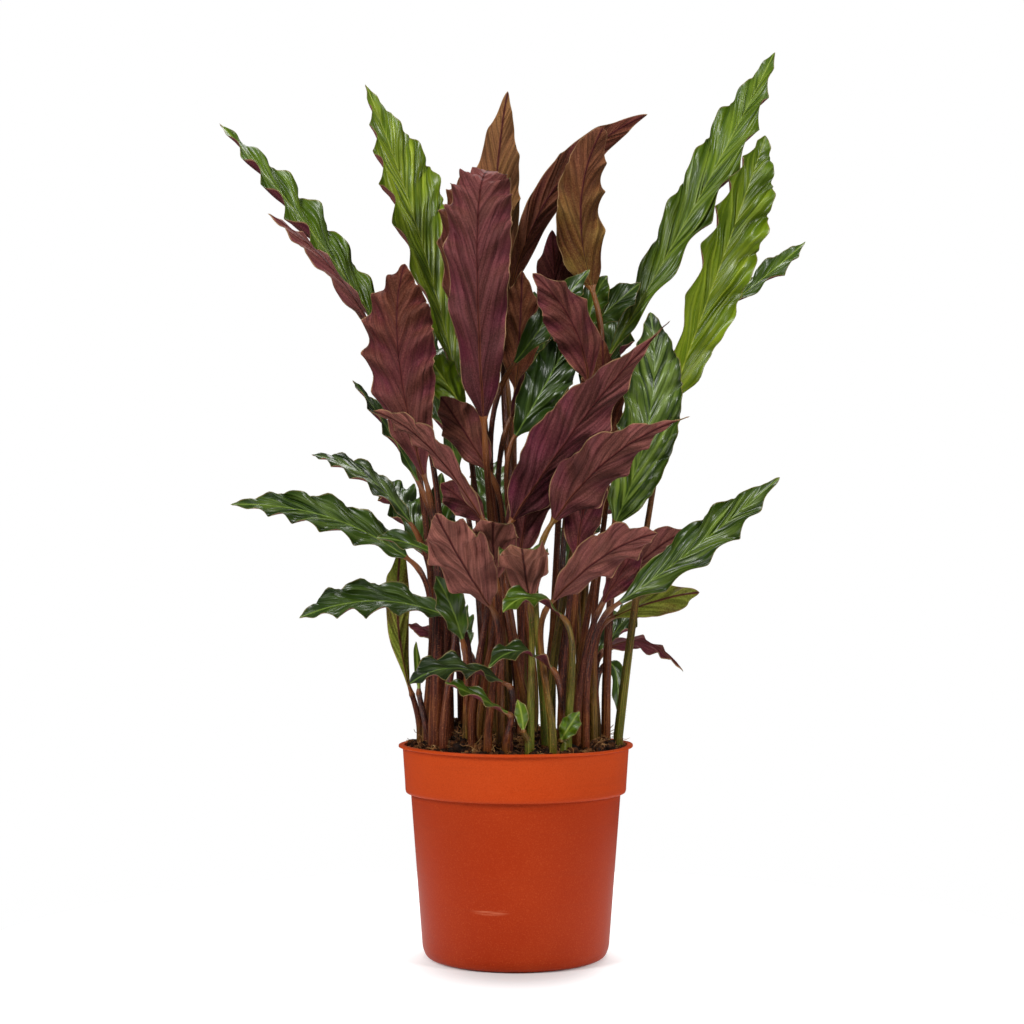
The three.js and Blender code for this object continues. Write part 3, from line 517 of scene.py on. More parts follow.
# Stalk: a juicy round petiole, burgundy to rust or green, streaked lengthwise, with a pale
# yellow-orange knee below the blade and a fine nap that scatters light.
stalk_skin, tree, shader = new_material("calathea_petiole_hairy")
stem, along, turn = (read(tree, name) for name in ("stem", "along", "turn"))
where = add(tree, "ShaderNodeCombineXYZ", {"X": turn, "Y": maths(tree, "MULTIPLY", along, 0.6)})
streak = noise(tree, 9.0, 3.0, where.outputs["Vector"])
patch = noise(tree, 30.0, 3.0)
uneven = maths(tree, "MULTIPLY_ADD", patch, 0.5, stem)
low = maths(tree, "MULTIPLY", between(tree, along, 0.5, 0.0), 0.3)
shade = maths(tree, "SUBTRACT", maths(tree, "ADD", uneven, low), 0.3, clamp=True)
stalk_colours = [(0.0, "#2c0c0e"), (0.25, "#42120a"), (0.5, "#662a06"), (0.75, "#544608"), (1.0, "#56600a")]
body = ramp(tree, shade, stalk_colours)
light = ramp(tree, shade, [(0.0, "#7c3c34"), (0.3, "#8e4a2c"), (0.6, "#a07030"), (1.0, "#a0a040")])
body = coated(tree, body, light, streak, 0.48, 0.66, 0.6)
night = mixed(tree, 0.65, body, colour("#140806"))
body = coated(tree, body, night, streak, 0.48, 0.34, 0.7)
speck = between(tree, noise(tree, 1400.0, 1.0), 0.6, 0.7)
body = mixed(tree, maths(tree, "MULTIPLY", speck, 0.6), body, colour("#b8764c"))
knee = maths(tree, "MULTIPLY", between(tree, along, 0.84, 0.97), 0.5)
body = mixed(tree, knee, body, colour("#a0602a"))
feed(tree, shader, {
    "Base Color": body, "Roughness": 0.36, "IOR": 1.45, "Specular IOR Level": 0.6,
    "Sheen Weight": 0.06, "Sheen Roughness": 0.4, "Sheen Tint": colour("#e0b090"),
})
skin = bump(tree, streak, 0.001, 0.8)
skin = bump(tree, noise(tree, 1400.0, 1.0), 0.0002, 0.5, skin)
feed(tree, shader, {"Normal": skin})

# Stalk hairs: stiff bristles, rusty at this size.
rusts = [(0.3, "#6b3526"), (0.7, "#b07a52")]
hair_skin = grained("petiole_bristle", 300.0, 1.0, rusts, 0.45)

# Pot: injection-moulded polypropylene, satin, with faint flow lines and dull rubs.
pot_skin, tree, shader = new_material("moulded_polypropylene_terracotta")
place = add(tree, "ShaderNodeTexCoord").outputs["Object"]
cloud = noise(tree, 14.0, 3.0)
flow_map = add(tree, "ShaderNodeMapping", {"Vector": place, "Scale": (3.0, 3.0, 90.0)})
flow = noise(tree, 4.0, 3.0, flow_map.outputs["Vector"])
grain = noise(tree, 1100.0, 2.0)
split = add(tree, "ShaderNodeSeparateXYZ", {"Vector": place})
high = split.outputs["Z"]
# Painted light and shade: the colour darkens towards the foot and is lighter on the collar than on the wall.
wall_colours = [(0.0, "#962800"), (0.06, "#9e2c00"), (0.118, "#a43004")]
collar_colours = [(0.124, "#bc3e0c"), (0.157, "#c4440e")]
body = ramp(tree, high, wall_colours + collar_colours)
body = coated(tree, body, colour("#bc4c20"), cloud, 0.35, 0.7, 0.14)
body = coated(tree, body, colour("#8f3216"), flow, 0.5, 0.75, 0.12)
body = coated(tree, body, colour("#cc6030"), grain, 0.5, 0.75, 0.2)
body = coated(tree, body, colour("#862400"), grain, 0.5, 0.3, 0.2)
smeared = {"Vector": place, "Location": (1.1, 0.0, -14.5), "Scale": (60.0, 0.0, 330.0)}
smear = add(tree, "ShaderNodeMapping", smeared)
away = add(tree, "ShaderNodeVectorMath", {0: smear.outputs["Vector"]}, operation="LENGTH").outputs["Value"]
front = between(tree, split.outputs["Y"], 0.0, -0.02)
rub = maths(tree, "MULTIPLY", between(tree, away, 1.0, 0.2), front)
broken = between(tree, noise(tree, 12.0, 3.0, flow_map.outputs["Vector"]), 0.46, 0.6)
rub = maths(tree, "MULTIPLY", rub, broken)
body = mixed(tree, maths(tree, "MULTIPLY", rub, 0.35), body, colour("#e08a64"))
feed(tree, shader, {"Base Color": body})
rough = maths(tree, "MULTIPLY_ADD", cloud, 0.2, 0.38)
feed(tree, shader, {"Roughness": rough, "IOR": 1.49, "Specular IOR Level": 0.13})
skin = bump(tree, grain, 0.00015, 0.6)
skin = bump(tree, cloud, 0.002, 0.15, skin)
skin = bump(tree, flow, 0.0002, 0.3, skin)
feed(tree, shader, {"Normal": skin})

# Peat: damp, dark and crumbly, matt.
peats = [(0.3, "#0c0604"), (0.5, "#221208"), (0.65, "#4a2a14"), (0.8, "#6e4a2c")]
peat_skin = grained("damp_peat", 240.0, 5.0, peats, 0.88, 0.15, 0.65, (500.0, 5.0, 0.0015))

# Crumbs of peat and rotten bark, browner and lighter in places.
barks = [(0.34, "#140a05"), (0.46, "#301a0c"), (0.56, "#5c3418"), (0.68, "#986438")]
crumb_skin = grained("peat_crumb", 130.0, 1.0, barks, 0.7, 0.15, 0.5, (800.0, 4.0, 0.002))

# Coir fibres: dry straw-coloured threads.
straws = [(0.35, "#6a4224"), (0.6, "#b08046"), (0.75, "#d8b47c")]
fibre_skin = grained("coir_fibre", 90.0, 1.0, straws, 0.7)


def unit(v):
    """Vectors of length 1."""
    return v / np.linalg.norm(v, axis=-1, keepdims=True)


def across(direction, tangent):
    """The part of a direction that is square to a tangent."""
    return unit(direction - tangent * np.sum(direction * tangent, axis=-1, keepdims=True))


def turned(v, axis, angle):
    """A vector turned about an axis that is square to it."""
    return v * math.cos(angle) + np.cross(axis, v) * math.sin(angle)


def facing(azimuth, elevation):
    """The direction at an azimuth, from the photographed side towards +X, and an elevation."""
    a, e = math.radians(azimuth), math.radians(elevation)
    return np.array([math.sin(a) * math.cos(e), -math.cos(a) * math.cos(e), math.sin(e)])


def blade_frames(neck, middle, tip, face, twist):
    """The midrib's points with tangents and upper-side normals, from neck to tip."""
    control = 2 * middle - (neck + tip) / 2
    t = np.linspace(0, 1, FRAME_STEPS + 1)[:, None]
    places = (1 - t) ** 2 * neck + 2 * t * (1 - t) * control + t * t * tip
    tangents = unit((control - neck) * (1 - t) + (tip - control) * t)
    normals = np.zeros_like(places)
    half = FRAME_STEPS // 2
    normals[half] = across(facing(*face), tangents[half])
    for k in range(half + 1, FRAME_STEPS + 1):
        normals[k] = across(normals[k - 1], tangents[k])
    for k in range(half - 1, -1, -1):
        normals[k] = across(normals[k + 1], tangents[k])
    for k in range(FRAME_STEPS + 1):
        normals[k] = turned(normals[k], tangents[k], math.radians(twist) * (k / FRAME_STEPS - 0.5))
    return places, tangents, normals


def frame_at(frames, station):
    """Place, tangent and normal at each station from 0 to 1."""
    x = np.clip(station, 0, 1) * FRAME_STEPS
    k = np.minimum(np.floor(x).astype(int), FRAME_STEPS - 1)
    part = (x - k)[..., None]
    place, tangent, normal = (f[k] * (1 - part) + f[k + 1] * part for f in frames)
    tangent = unit(tangent)
    return place, tangent, across(normal, tangent)


def half_width_share(s, rise, fall):
    """Half the blade's width as a share of its greatest, with a drawn-out tip where the fall is slow."""
    peak = rise / (rise + fall)
    late = np.clip((s - TAPER_START) / (1 - TAPER_START), 0, 1)
    taper = 1 - TIP_TAPER * late * late * (3 - 2 * late) if fall > 0.55 else 1
    return taper * s**rise * (1 - s) ** fall / (peak**rise * (1 - peak) ** fall)


def extras(row):
    """What a row of the table says beyond its nine fixed entries."""
    return row[9] if len(row) > 9 else {}


def leaf_skin(row, index):
    """The points of one leaf in rings from root to tip, each with its numbers for the materials."""
    name, foot, neck, middle, tip, width, face, twist, waves = row[:9]
    extra = extras(row)
    draw = np.random.default_rng(LEAF_SEED + index)
    neck, middle, tip = (np.array(p, float) for p in (neck, middle, tip))
    frames = blade_frames(neck, middle, tip, face, twist)
    rise, fall = extra.get("profile", PROFILE)
    cup = extra.get("cup", CUP_SHARE)
    wave = extra.get("wave", WAVE_SHARE)
    length = float(np.sum(np.linalg.norm(np.diff(frames[0], axis=0), axis=1)))
    columns = 2 * max(FEWEST_COLUMNS, round(width / COLUMN_WIDTH))
    u = np.linspace(-1, 1, columns + 1)
    v = (u - 0.5 * np.sin(2 * math.pi * u) / (2 * math.pi))[None, :]
    rows = max(FEWEST_ROWS, int(length / ROW_STEP))
    q = np.linspace(0, 1, rows + 1)[:, None]
    side_of = np.where(v < 0, 1.0, 0.0)
    phase = (index % 2 + extra.get("turned", 0) + side_of) * math.pi
    size = np.abs(v)

    station = np.minimum(1, q + VEIN_SLANT * size * np.sin(math.pi * q))
    place, tangent, normal = frame_at(frames, station)
    side = np.cross(tangent, normal)
    share_here = half_width_share(station, rise, fall)
    half = np.maximum(width / 2 * share_here, TIP_HALF_WIDTH)
    drift = 0.5 * np.sin(2 * math.pi * (1.3 * q + draw.random())) * (0.6 + 0.4 * side_of)
    theta = 2 * math.pi * waves * q + phase + drift * min(1.0, waves / 4)
    beat = np.cos(theta)
    lobe = 2 * np.sqrt(np.cos(theta / 2) ** 2 + 0.03) - 1
    gather = GATHER * length / (2 * math.pi * waves) * np.sin(theta) * size**2
    ends = share_here**0.8
    swell = 1 + WAVE_VARIES * np.sin(2 * math.pi * (waves * 0.37 * q + draw.random()) + 2 * side_of)
    ripple = np.cos(2 * math.pi * (2.7 * waves * q + draw.random()) + 2.4 * side_of)
    lift = wave * width * ends * swell * beat * size**WAVE_REACH + cup * half * v * v
    lift = lift + RIPPLE_LIFT * width * ends * ripple * size**2.5
    lift = lift + MARGIN_CURL * width * ends * np.clip(beat, 0, 1) ** 2 * size**5
    outline = 1 + SCALLOP * lobe * size + RIPPLE_EDGE * ripple * size
    middle_skin = place + side * (v * half * outline)[..., None]
    middle_skin = middle_skin + normal * lift[..., None] + tangent * (gather * ends)[..., None]

    # Folds between the slanting veins, and the midrib's cord below and groove above.
    off_rib = size * half
    vein = q * length - VEIN_SLOPE * off_rib
    pleat = np.sin(2 * math.pi * vein / VEIN_SPACING) * np.minimum(1, off_rib / 4)
    uneven = 0.75 + 0.45 * np.sin(2 * math.pi * vein / 31 + 6 * draw.random()) * np.sin(vein / 9.7)
    relief = (width / 40) ** 0.5 * uneven * (1 - size**4) * ends * PLEAT_HEIGHT * pleat
    rib_wide = 1.5 * (1 - q) ** 0.8 + 0.4
    rib = np.exp(-((off_rib / rib_wide) ** 2))
    along_q = np.gradient(middle_skin, axis=0)
    along_v = np.gradient(middle_skin, axis=1)
    square = np.cross(along_v, along_q)
    lengths = np.linalg.norm(square, axis=-1, keepdims=True)
    square = np.where(lengths > 1e-6, square / np.maximum(lengths, 1e-6), normal)
    thick = BLADE_THICKNESS / 2 * (1 - MARGIN_THINNING * size**3) + 0 * q
    upper = middle_skin + square * (thick + relief - RIB_GROOVE * rib)[..., None]
    lower = middle_skin - square * (thick - relief + RIB_DEPTH * (1 - 0.75 * q) * rib)[..., None]
    blade = np.concatenate([upper, lower[:, ::-1]], axis=1)

    # The stalk runs up into the midrib through a round neck.
    count = columns + 1
    angles = math.pi * (1 - (np.arange(count) + 0.5) / count)
    angles = np.concatenate([angles, angles - math.pi])
    centre, tangent, normal = frame_at(frames, q[:, 0])
    blade_side = np.cross(tangent, normal)
    tube_radius = NECK_RADIUS * (1 - 0.5 * np.clip(q[:, 0] / 0.1, 0, 1))[:, None, None]
    tube = centre[:, None] + tube_radius * (
        blade_side[:, None] * np.cos(angles)[None, :, None] + normal[:, None] * np.sin(angles)[None, :, None]
    )
    reach_in = min(0.12, NECK_BLEND / length)
    share = np.clip(q / reach_in, 0, 1)
    share = (share * share * (3 - 2 * share))[..., None]
    blade = tube * (1 - share) + blade * share
    blade[-1] = tip

    bend = extra.get("bend", [0, 0])
    base = np.array([foot[0], foot[1], SOIL_LEVEL + 10], float)
    reach = float(np.linalg.norm(neck - base))
    low = base + [bend[0], bend[1], 0.35 * reach]
    high = neck - frames[1][0] * 0.25 * reach + [bend[0], bend[1], 0]
    t = np.linspace(0, 1, STALK_RINGS)[:-1, None]
    line = (1 - t) ** 3 * base + 3 * t * (1 - t) ** 2 * low + 3 * t * t * (1 - t) * high + t**3 * neck
    run = unit((1 - t) ** 2 * (low - base) + 2 * t * (1 - t) * (high - low) + t * t * (neck - high))
    foot_radius = extra.get("foot", FOOT_RADIUS)
    knee = KNEE_SWELL * np.exp(-(((t[:, 0] - KNEE_PLACE) / KNEE_SPREAD) ** 2))
    sheath = min(SHEATH_SWELL, reach / 300) * np.exp(-((t[:, 0] / SHEATH_SPREAD) ** 2))
    radii = foot_radius + (NECK_RADIUS - foot_radius) * t[:, 0] + knee + sheath
    stalk = np.zeros((len(t) + 1, 2 * count, 3))
    square = frames[2][0]
    for k in range(len(t) - 1, -1, -1):
        square = across(square, run[k])
        out = np.cross(run[k], square)
        ring = out * np.cos(angles)[:, None] + square * np.sin(angles)[:, None]
        stalk[k + 1] = line[k] + radii[k] * ring
    root = np.array([foot[0], foot[1], SOIL_LEVEL - FOOT_DEPTH], float)
    stalk[0] = stalk[1] - base + root
    points = np.concatenate([stalk, blade])

    look, pale = LOOKS.get(name, PLAIN_LOOK), PALE.get(name, PLAIN_PALE)
    flat = np.ones((1, columns + 1))
    stalk_rings = len(stalk)

    def numbers(on_blade, on_stalk=0.0):
        """A number on the blade's grid, carried to both faces, below a value on the stalk."""
        grid = on_blade * flat + 0 * q
        both = np.concatenate([grid, grid[:, ::-1]], axis=1)
        return np.concatenate([np.zeros((stalk_rings, 2 * count)) + on_stalk, both]).ravel()

    stalk_t = np.concatenate([[0.0], t[:, 0]])[:, None]
    spin = np.abs(np.tile(angles, (len(points), 1))) / math.pi
    values = {
        "sun": numbers(look[0] + (look[1] - look[0]) * q),
        "glow": numbers(look[2] + (look[3] - look[2]) * q),
        "stem": np.full(points.shape[:2], look[4] + 0.35 * (draw.random() - 0.5)).ravel(),
        "vein": numbers(vein),
        "off_rib": numbers(off_rib),
        "beside": numbers(v * half + 100 * index),
        "to_edge": numbers((1 - size) * half, 9.0),
        "fold": numbers(beat * size**0.9 * ends),
        "pale": numbers(pale[0] + (pale[1] - pale[0]) * q),
        "along": numbers(q + 1, stalk_t),
        "turn": spin.ravel() + index,
    }
    neck_rings = reach_in * rows
    return {"points": points, "values": values, "stalk": stalk_rings, "columns": columns, "wed": neck_rings}


def leaf_faces(skin, start):
    """Quads between the rings with their material: 0 upper, 1 underside, 2 margin, 3 stalk."""
    rings, around = skin["points"].shape[:2]
    columns = skin["columns"]
    faces, slots = [], []
    blade_start = skin["stalk"] + max(1, int(skin["wed"] * 0.45))
    for ring in range(rings - 1):
        here, there = start + ring * around, start + (ring + 1) * around
        for k in range(around):
            n = (k + 1) % around
            faces.append((here + k, here + n, there + n, there + k))
            if ring < blade_start:
                slots.append(3)
            elif k < columns:
                slots.append(0)
            elif k == columns or k == around - 1:
                slots.append(2)
            else:
                slots.append(1)
    faces.append(tuple(start + k for k in range(around))[::-1])
    slots.append(3)
    return faces, slots


def put(name, data):
    """A new object in the scene, at the origin."""
    made = bpy.data.objects.new(name, data)
    bpy.context.scene.collection.objects.link(made)
    return made


def smoothed(mesh):
    """Shades every face smoothly."""
    mesh.polygons.foreach_set("use_smooth", [True] * len(mesh.polygons))


def mesh_object(name, points, faces, *materials):
    """A new mesh object at the origin, from points in millimetres."""
    mesh = bpy.data.meshes.new(name)
    mesh.from_pydata((np.asarray(points) * MM).tolist(), [], faces)
    smoothed(mesh)
    for material in materials:
        mesh.materials.append(material)
    return put(name, mesh)


def finished(made, slot, *nodes):
    """The piece rides on the one body and stands for its CAD nodes."""
    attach(made, "root")
    if nodes:
        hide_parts(*nodes)
    return made


leaf_slots = {part["node"]: part["material_slot"] for part in frame["record"]["subparts"]}
skins = {row[0]: leaf_skin(row, index) for index, row in enumerate(LEAVES)}
hosts = [row[0] for row in LEAVES if "joins" not in extras(row)]
for name in hosts:
    group = [name] + [row[0] for row in LEAVES if extras(row).get("joins") == name]
    points, faces, slots, sharp_from = [], [], [], []
    start = 0
    for member in group:
        skin = skins[member]
        made_faces, made_slots = leaf_faces(skin, start)
        faces += made_faces
        slots += made_slots
        flat_points = skin["points"].reshape(-1, 3)
        points.append(flat_points)
        sharp_from.append((start, start + len(flat_points), skin))
        start += len(flat_points)
    coats = (leaf_upper, leaf_under, leaf_margin, stalk_skin)
    leaf = mesh_object(name + "_leaf", np.concatenate(points), faces, *coats)
    mesh = leaf.data
    mesh.polygons.foreach_set("material_index", slots)
    for key in skins[name]["values"]:
        numbers = np.concatenate([skins[m]["values"][key] for m in group]).astype(np.float32)
        mesh.attributes.new(key, "FLOAT", "POINT").data.foreach_set("value", numbers)
    ends = np.zeros(len(mesh.edges) * 2, np.int32)
    mesh.edges.foreach_get("vertices", ends)
    ends = ends.reshape(-1, 2)
    crisp = np.zeros(len(ends), bool)
    for first, last, skin in sharp_from:
        around, columns = skin["points"].shape[1], skin["columns"]
        local = ends - first
        inside = (ends[:, 0] >= first) & (ends[:, 0] < last)
        column = local % around
        ring = np.minimum(local[:, 0], local[:, 1]) // around
        rims = np.isin(column[:, 0], (0, columns, columns + 1, around - 1))
        crisp |= inside & (column[:, 0] == column[:, 1]) & rims & (ring > skin["stalk"] + skin["wed"])
    mesh.attributes.new("sharp_edge", "BOOLEAN", "EDGE").data.foreach_set("value", crisp)
    finished(leaf, leaf_slots[name], name)


def build_tree(name, sizes):
    """A Geometry Nodes tree with a mesh in, named sizes and a mesh out: (tree, input node)."""
    tree = bpy.data.node_groups.new(name, "GeometryNodeTree")
    tree.interface.new_socket("Geometry", in_out="INPUT", socket_type="NodeSocketGeometry")
    for label, value in sizes.items():
        kind = "NodeSocketInt" if isinstance(value, int) else "NodeSocketFloat"
        socket = tree.interface.new_socket(label, in_out="INPUT", socket_type=kind)
        socket.default_value = value
    tree.interface.new_socket("Geometry", in_out="OUTPUT", socket_type="NodeSocketGeometry")
    return tree, add(tree, "NodeGroupInput")


def close_tree(tree, geometry, material):
    """The tree's end: copies made real, their material set, and out."""
    real = add(tree, "GeometryNodeRealizeInstances", {"Geometry": geometry})
    dressed = add(tree, "GeometryNodeSetMaterial", {"Geometry": real.outputs[0], "Material": material})
    add(tree, "NodeGroupOutput", {"Geometry": dressed.outputs[0]})


def grown(name, bed, tree, sizes, material):
    """What a tree grows on a bed, as a plain mesh object. The bed stays as it was."""
    modifier = bed.modifiers.new(name, "NODES")
    modifier.node_group = tree
    for item in tree.interface.items_tree:
        if item.item_type == "SOCKET" and item.in_out == "INPUT" and item.name in sizes:
            modifier[item.identifier] = sizes[item.name]
    ready = bed.evaluated_get(bpy.context.evaluated_depsgraph_get())
    mesh = bpy.data.meshes.new_from_object(ready)
    bed.modifiers.remove(modifier)
    mesh.name = name
    mesh.materials.clear()
    mesh.materials.append(material)
    return put(name, mesh)


def random_value(tree, given, low, high, shift):
    """A random number or vector for each point or copy, from the tree's seed and a shift."""
    seed = maths(tree, "ADD", given.outputs["Seed"], float(shift))
    if isinstance(low, tuple):
        inputs = {0: low, 1: high, "Seed": seed}
        return add(tree, "FunctionNodeRandomValue", inputs, data_type="FLOAT_VECTOR").outputs[0]
    inputs = {2: low, 3: high, "Seed": seed}
    return add(tree, "FunctionNodeRandomValue", inputs, data_type="FLOAT").outputs[1]


def scattered(tree, given, shape, scale, turn=None):
    """Copies of a shape on points spread over the bed, upright on it or turned."""
    spread = {"Mesh": given.outputs["Geometry"]}
    spread.update({label: given.outputs[label] for label in ("Density", "Seed")})
    spots = add(tree, "GeometryNodeDistributePointsOnFaces", spread)
    turn = spots.outputs["Rotation"] if turn is None else turn
    placed = {"Points": spots.outputs["Points"], "Instance": shape, "Rotation": turn, "Scale": scale}
    return add(tree, "GeometryNodeInstanceOnPoints", placed).outputs[0]


def shaken(tree, copies, reach, scale, detail, centre):
    """Copies made real, every point moved by soft noise about its centre, as far as the reach."""
    real = add(tree, "GeometryNodeRealizeInstances", {"Geometry": copies})
    wobble = add(tree, "ShaderNodeTexNoise", {"Scale": scale, "Detail": detail}).outputs["Color"]
    centred = add(tree, "ShaderNodeVectorMath", {0: wobble, 1: centre}, operation="SUBTRACT").outputs[0]
    pushed = add(tree, "ShaderNodeVectorMath", {0: centred, "Scale": reach}, operation="SCALE").outputs[0]
    return add(tree, "GeometryNodeSetPosition", {"Geometry": real.outputs[0], "Offset": pushed}).outputs[0]


# Bristles on the stalks: a cone of three sides for each hair.
hair_sizes = {"Density": 70000.0, "Length": 1.5 * MM, "Thickness": 0.07 * MM, "Seed": 3}
tree, given = build_tree("stalk_bristles", hair_sizes)
cone = {"Vertices": 3, "Radius Top": 0.0, "Radius Bottom": given.outputs["Thickness"]}
cone["Depth"] = given.outputs["Length"]
spike = add(tree, "GeometryNodeMeshCone", cone, fill_type="NONE")
lean = random_value(tree, given, (-0.6, -0.6, -3.1), (0.6, 0.6, 3.1), 1)
size = random_value(tree, given, (0.8, 0.8, 0.5), (1.2, 1.2, 1.3), 2)
stand = scattered(tree, given, spike.outputs["Mesh"], size)
tilted = add(tree, "GeometryNodeRotateInstances", {"Instances": stand, "Rotation": lean})
close_tree(tree, tilted.outputs[0], hair_skin)

bed_points, bed_faces = [], []
for skin in skins.values():
    around = skin["points"].shape[1]
    first = len(bed_points)
    used = skin["stalk"] + 2
    bed_points += skin["points"][2:used].reshape(-1, 3).tolist()
    for ring in range(used - 3):
        for k in range(around):
            n = (k + 1) % around
            a, b = first + ring * around, first + (ring + 1) * around
            bed_faces.append((a + k, a + n, b + n, b + k))
bed = mesh_object("bristle_bed", bed_points, bed_faces)
bristles = grown("stalk_bristles", bed, tree, hair_sizes, hair_skin)
bpy.data.objects.remove(bed)
finished(bristles, "leaf_wine")


def seeded(seed):
    """The part's own sequence of numbers from 0 to 1."""
    state = seed
    while True:
        state = state * 16807 % 2147483647
        yield state / 2147483647


# The peat's lumps, as in the part's source
SOIL_EDGE = 82.0
SMALL_LUMPS, LUMP_FIELD = 30, 74
draw = seeded(11)
LUMPS = []
for _ in range(SMALL_LUMPS):
    radius, angle = LUMP_FIELD * math.sqrt(next(draw)), 2 * math.pi * next(draw)
    spot = (radius * math.cos(angle), radius * math.sin(angle))
    LUMPS.append((*spot, 1.5 + 4.5 * next(draw), 5 + 7 * next(draw)))
LUMPS += [(-47, 34, 20, 18), (60, 38, 19, 16), (6, 48, 10, 22)]
LUMPS += [(-38, -44, 6, 12), (-20, -40, 7, 18), (14, -14, 5, 22)]


def soil_height(x, y):
    """The peat's height at a place: a low dome with its lumps, level with the soil line at the edge."""
    share = np.hypot(x, y) / SOIL_EDGE
    lumps = sum(h * np.exp(-((x - a) ** 2 + (y - b) ** 2) / w**2) for a, b, h, w in LUMPS)
    return SOIL_LEVEL + (7.2 + lumps) * (1 - share**4) * 0.8


def rough_ground(x, y, seed, waves=40, longest=16.0, shortest=2.5):
    """Small bumps in millimetres: many short waves of random direction."""
    picks = np.random.default_rng(seed)
    total = np.zeros_like(x)
    for _ in range(waves):
        size = shortest * (longest / shortest) ** picks.random()
        angle, shift = picks.random() * 2 * math.pi, picks.random() * 2 * math.pi
        step = 2 * math.pi / size
        total += size * 0.042 * np.sin(step * (x * math.cos(angle) + y * math.sin(angle)) + shift)
    return total


def spun(profile, sides):
    """Points and faces of a closed shape turned round the Z axis, from a profile of (radius, z)
    that starts and ends on the axis."""
    angles = 2 * math.pi * np.arange(sides) / sides
    points = [(0.0, 0.0, profile[0][1])]
    for radius, z in profile[1:-1]:
        points += [(radius * math.cos(a), radius * math.sin(a), z) for a in angles]
    points.append((0.0, 0.0, profile[-1][1]))
    faces = []
    rings = len(profile) - 2
    for k in range(sides):
        n = (k + 1) % sides
        faces.append((0, 1 + n, 1 + k))
        for ring in range(rings - 1):
            a, b = 1 + ring * sides, 1 + (ring + 1) * sides
            faces.append((a + k, a + n, b + n, b + k))
        last = 1 + (rings - 1) * sides
        faces.append((len(points) - 1, last + k, last + n))
    return np.array(points), faces


def rounded(profile, radii, steps=4):
    """The profile with each inner corner turned into an arc of about its radius."""
    made = [profile[0]]
    for before, corner, after, radius in zip(profile, profile[1:], profile[2:], radii):
        p0, p1, p2 = (np.array(p, float) for p in (before, corner, after))
        cut = min(radius, np.linalg.norm(p0 - p1) * 0.45, np.linalg.norm(p2 - p1) * 0.45)
        if cut < 0.05:
            made.append(corner)
            continue
        a = p1 + (p0 - p1) / np.linalg.norm(p0 - p1) * cut
        b = p1 + (p2 - p1) / np.linalg.norm(p2 - p1) * cut
        for t in np.linspace(0, 1, steps + 1):
            made.append(tuple((1 - t) ** 2 * a + 2 * t * (1 - t) * p1 + t * t * b))
    made.append(profile[-1])
    return made


# Peat: one closed body that fills the pot, with a rough top.
SOIL_WALL = [(0.0, 1.9), (59.5, 1.9), (63.0, 3.3), (66.8, 8.0), (76.0, 117.4), (76.7, 121.6), (79.1, 125.0)]
SOIL_WALL += [(80.0, 127.7), (80.6, 131.4)]
TOP_RINGS = 54
PEAT_SIDES = 150
GROUND_SEED = 21
top = [(SOIL_EDGE * (TOP_RINGS - k) / TOP_RINGS, SOIL_LEVEL) for k in range(TOP_RINGS)]
points, faces = spun(SOIL_WALL + top + [(0.0, SOIL_LEVEL)], PEAT_SIDES)
upper_points = points[:, 2] == SOIL_LEVEL
x, y = points[upper_points, 0], points[upper_points, 1]
fade = 1 - (np.hypot(x, y) / SOIL_EDGE) ** 8
points[upper_points, 2] = soil_height(x, y) + rough_ground(x, y, GROUND_SEED) * (0.5 + 0.5 * fade)
soil = mesh_object("peat_fill", points, faces, peat_skin)
finished(soil, "peat", "soil")

# A bed just inside the pot for what lies on the peat.
BED_RADIUS, BED_RINGS, BED_SIDES = 79.5, 30, 90
rings = [(BED_RADIUS * k / BED_RINGS, 0.0) for k in range(1, BED_RINGS + 1)]
bed_points, bed_faces = spun([(0.0, 0.0)] + rings + [(0.0, 0.0)], BED_SIDES)
bed_faces = [f for f in bed_faces if len(bed_points) - 1 not in f]
bed_points = bed_points[:-1]
x, y = bed_points[:, 0], bed_points[:, 1]
bed_points[:, 2] = soil_height(x, y) + rough_ground(x, y, GROUND_SEED)
bed_faces = [f[::-1] for f in bed_faces]

# How far out what lies on the peat may reach at each height, a little inside the pot's wall and,
# above the lip, leaning out over it
ROOM_HEIGHTS = [121.6, 131.4, 157.3, 170.0]
ROOM_RADII = [76.2, 80.1, 81.9, 92.0]
SUNK = 0.1
CRUMB_POINTS = 12
FIBRE_STEPS, FIBRE_SIDES = 7, 4


def settle(made, each):
    """What lies on the peat, with so many points each, lowered until its lowest point lies on the
    peat, and moved in from the pot's wall, above whose lip it may lean out."""
    spots = np.empty(len(made.data.vertices) * 3)
    made.data.vertices.foreach_get("co", spots)
    spots = spots.reshape(-1, 3) / MM
    x, y = spots[:, 0], spots[:, 1]
    edge = np.clip(np.hypot(x, y) / SOIL_EDGE, 0.0, 1.0)
    ground = soil_height(x, y) + rough_ground(x, y, GROUND_SEED) * (1 - 0.5 * edge**8)
    clear = (spots[:, 2] - ground).reshape(-1, each).min(axis=1)
    spots[:, 2] -= np.repeat(np.maximum(clear + SUNK, 0.0), each)
    wide, high = np.hypot(spots[:, 0], spots[:, 1]), spots[:, 2]
    room = np.interp(high, ROOM_HEIGHTS, ROOM_RADII)
    share = np.minimum(1.0, room / np.maximum(wide, 0.001))
    spots[:, :2] *= share[:, None]
    made.data.vertices.foreach_set("co", (spots * MM).ravel())
    made.data.update()


